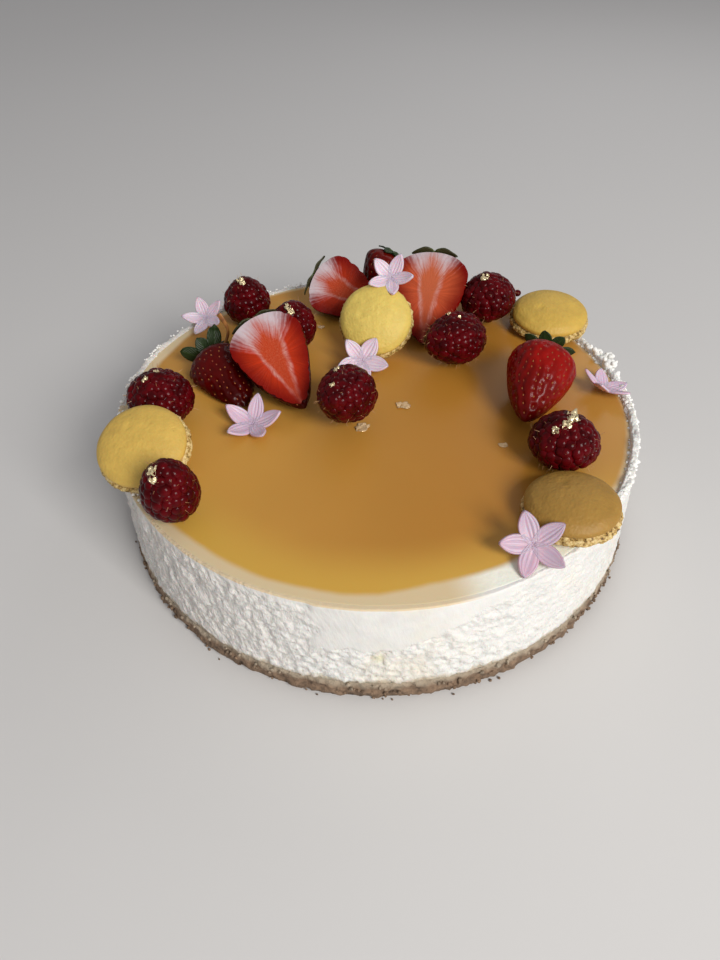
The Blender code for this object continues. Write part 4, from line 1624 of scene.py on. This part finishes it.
class CheesecakeColours(bpy.types.PropertyGroup):
    """Colours of the cake and its toppings."""

    cream_colour: colour_setting("Cream", "Baked cream", (0.81, 0.80, 0.765))
    crust_colour: colour_setting("Biscuit", "Crushed biscuit", (0.27, 0.175, 0.11))
    jelly_colour: colour_setting("Jelly", "Mango jelly", (0.56, 0.275, 0.052))
    raspberry_colour: colour_setting("Raspberry", "Raspberry skin", (0.072, 0.0009, 0.0024))
    strawberry_colour: colour_setting("Strawberry", "Strawberry skin", (0.29, 0.005, 0.003))
    flesh_colour: colour_setting("Flesh", "Cut strawberry", (0.52, 0.060, 0.016))
    leaf_colour: colour_setting("Leaf", "Strawberry leaves", (0.016, 0.032, 0.007))
    shell_colour: colour_setting("Macaron", "Macaron shells", (0.74, 0.48, 0.095))
    petal_colour: colour_setting("Petals", "Sugar flowers", (0.62, 0.43, 0.55))
    gold_colour: colour_setting("Gold", "Gold leaf", (1.0, 0.84, 0.52))


class Settings:
    """The sizes and colours that the scene holds, read as one."""

    def __init__(self, scene):
        self.groups = (scene.cheesecake_sizes, scene.cheesecake_colours)

    def __getattr__(self, name):
        for group in self.groups:
            if name in group.bl_rna.properties:
                return getattr(group, name)
        raise AttributeError(name)


class CHEESECAKE_OT_filling(bpy.types.Operator):
    """Model the baked filling, its rim and its crumbs"""

    bl_idname = "cheesecake.filling"
    bl_label = "Filling"

    def execute(self, context):
        sizes = Settings(context.scene)
        model_filling(sizes)
        model_cream_crumbs(sizes)
        return {"FINISHED"}


class CHEESECAKE_OT_biscuit(bpy.types.Operator):
    """Model the biscuit base and its crumbs"""

    bl_idname = "cheesecake.biscuit"
    bl_label = "Biscuit base"

    def execute(self, context):
        sizes = Settings(context.scene)
        model_biscuit(sizes)
        model_biscuit_crumbs(sizes)
        return {"FINISHED"}


class CHEESECAKE_OT_jelly(bpy.types.Operator):
    """Model the mango jelly"""

    bl_idname = "cheesecake.jelly"
    bl_label = "Mango jelly"

    def execute(self, context):
        model_jelly(Settings(context.scene))
        return {"FINISHED"}


class CHEESECAKE_OT_raspberries(bpy.types.Operator):
    """Model the raspberries"""

    bl_idname = "cheesecake.raspberries"
    bl_label = "Raspberries"

    def execute(self, context):
        model_raspberries(Settings(context.scene))
        return {"FINISHED"}


class CHEESECAKE_OT_strawberries(bpy.types.Operator):
    """Model the strawberries and their leaves"""

    bl_idname = "cheesecake.strawberries"
    bl_label = "Strawberries"

    def execute(self, context):
        sizes = Settings(context.scene)
        model_strawberries(sizes)
        green = tuple(sizes.leaf_colour)
        fresh = leaf_look("berry_leaf", green)
        withered = leaf_look("withered_leaf", tinted(green, 2.6, 1.3, 2.0))
        for number in range(1, len(CALYXES) + 1):
            model_calyx(number, withered if number in (2, 3, 4) else fresh)
        return {"FINISHED"}


class CHEESECAKE_OT_shells(bpy.types.Operator):
    """Model the macaron shells"""

    bl_idname = "cheesecake.shells"
    bl_label = "Macaron shells"

    def execute(self, context):
        colour = tuple(Settings(context.scene).shell_colour)
        looks = [
            shell_look("macaron_golden", shade(colour, 0.92), 0.08),
            shell_look("macaron_pale", tinted(colour, 1.02, 1.16, 1.3), 0.0),
            shell_look("macaron_amber", tinted(colour, 0.86, 0.85, 0.72), 0.15),
            # partly painted shade: the fourth shell is browner and also about half as bright, as it
            # lies in shade at the lower right
            shell_look("macaron_toasted", tinted(colour, 0.49, 0.405, 0.32), 0.2),
        ]
        for number, row in enumerate(SHELLS, start=1):
            model_shell(number, row, looks[number - 1])
        return {"FINISHED"}


class CHEESECAKE_OT_flowers(bpy.types.Operator):
    """Model the sugar flowers"""

    bl_idname = "cheesecake.flowers"
    bl_label = "Sugar flowers"

    def execute(self, context):
        pink = tuple(Settings(context.scene).petal_colour)
        pale = petal_look("sugar_petals_pale", tinted(pink, 1.12, 1.22, 1.14))
        fresh = petal_look("sugar_petals", pink)
        # painted shade: a darker copy of the petals for the sixth flower, which lies in shade at the
        # lower right
        deep = petal_look("sugar_petals_deep", shade(pink, 0.78))
        looks = [pale, fresh, pale, pale, fresh, deep]
        for number, row in enumerate(FLOWERS, start=1):
            model_flower(number, row, looks[number - 1])
        return {"FINISHED"}


class CHEESECAKE_OT_gold(bpy.types.Operator):
    """Lay the gold leaf on the berries and the jelly"""

    bl_idname = "cheesecake.gold"
    bl_label = "Gold leaf"

    def execute(self, context):
        model_gold(Settings(context.scene))
        return {"FINISHED"}


class CHEESECAKE_OT_stage(bpy.types.Operator):
    """Set the floor, the lights and the camera"""

    bl_idname = "cheesecake.stage"
    bl_label = "Stage"

    def execute(self, context):
        model_stage()
        return {"FINISHED"}


class CHEESECAKE_PT_panel(bpy.types.Panel):
    """The cake's pieces, sizes and colours"""

    bl_label = "Mango cheesecake"
    bl_idname = "CHEESECAKE_PT_panel"
    bl_space_type = "VIEW_3D"
    bl_region_type = "UI"
    bl_category = "Cheesecake"

    def draw(self, context):
        for operator in OPERATORS:
            self.layout.operator(operator.bl_idname)
        for group in (context.scene.cheesecake_sizes, context.scene.cheesecake_colours):
            for name in group.__annotations__:
                self.layout.prop(group, name)


OPERATORS = (
    CHEESECAKE_OT_stage,
    CHEESECAKE_OT_biscuit,
    CHEESECAKE_OT_filling,
    CHEESECAKE_OT_jelly,
    CHEESECAKE_OT_raspberries,
    CHEESECAKE_OT_strawberries,
    CHEESECAKE_OT_shells,
    CHEESECAKE_OT_flowers,
    CHEESECAKE_OT_gold,
)
CLASSES = (CheesecakeSizes, CheesecakeColours, *OPERATORS, CHEESECAKE_PT_panel)


def register():
    for cls in CLASSES:
        bpy.utils.register_class(cls)
    bpy.types.Scene.cheesecake_sizes = PointerProperty(type=CheesecakeSizes)
    bpy.types.Scene.cheesecake_colours = PointerProperty(type=CheesecakeColours)


def unregister():
    del bpy.types.Scene.cheesecake_colours
    del bpy.types.Scene.cheesecake_sizes
    for cls in reversed(CLASSES):
        bpy.utils.unregister_class(cls)


def main():
    """Model everything in order."""
    register()
    bpy.ops.cheesecake.stage()
    bpy.ops.cheesecake.biscuit()
    bpy.ops.cheesecake.filling()
    bpy.ops.cheesecake.jelly()
    bpy.ops.cheesecake.raspberries()
    bpy.ops.cheesecake.strawberries()
    bpy.ops.cheesecake.shells()
    bpy.ops.cheesecake.flowers()
    bpy.ops.cheesecake.gold()


if __name__ == "__main__":
    main()
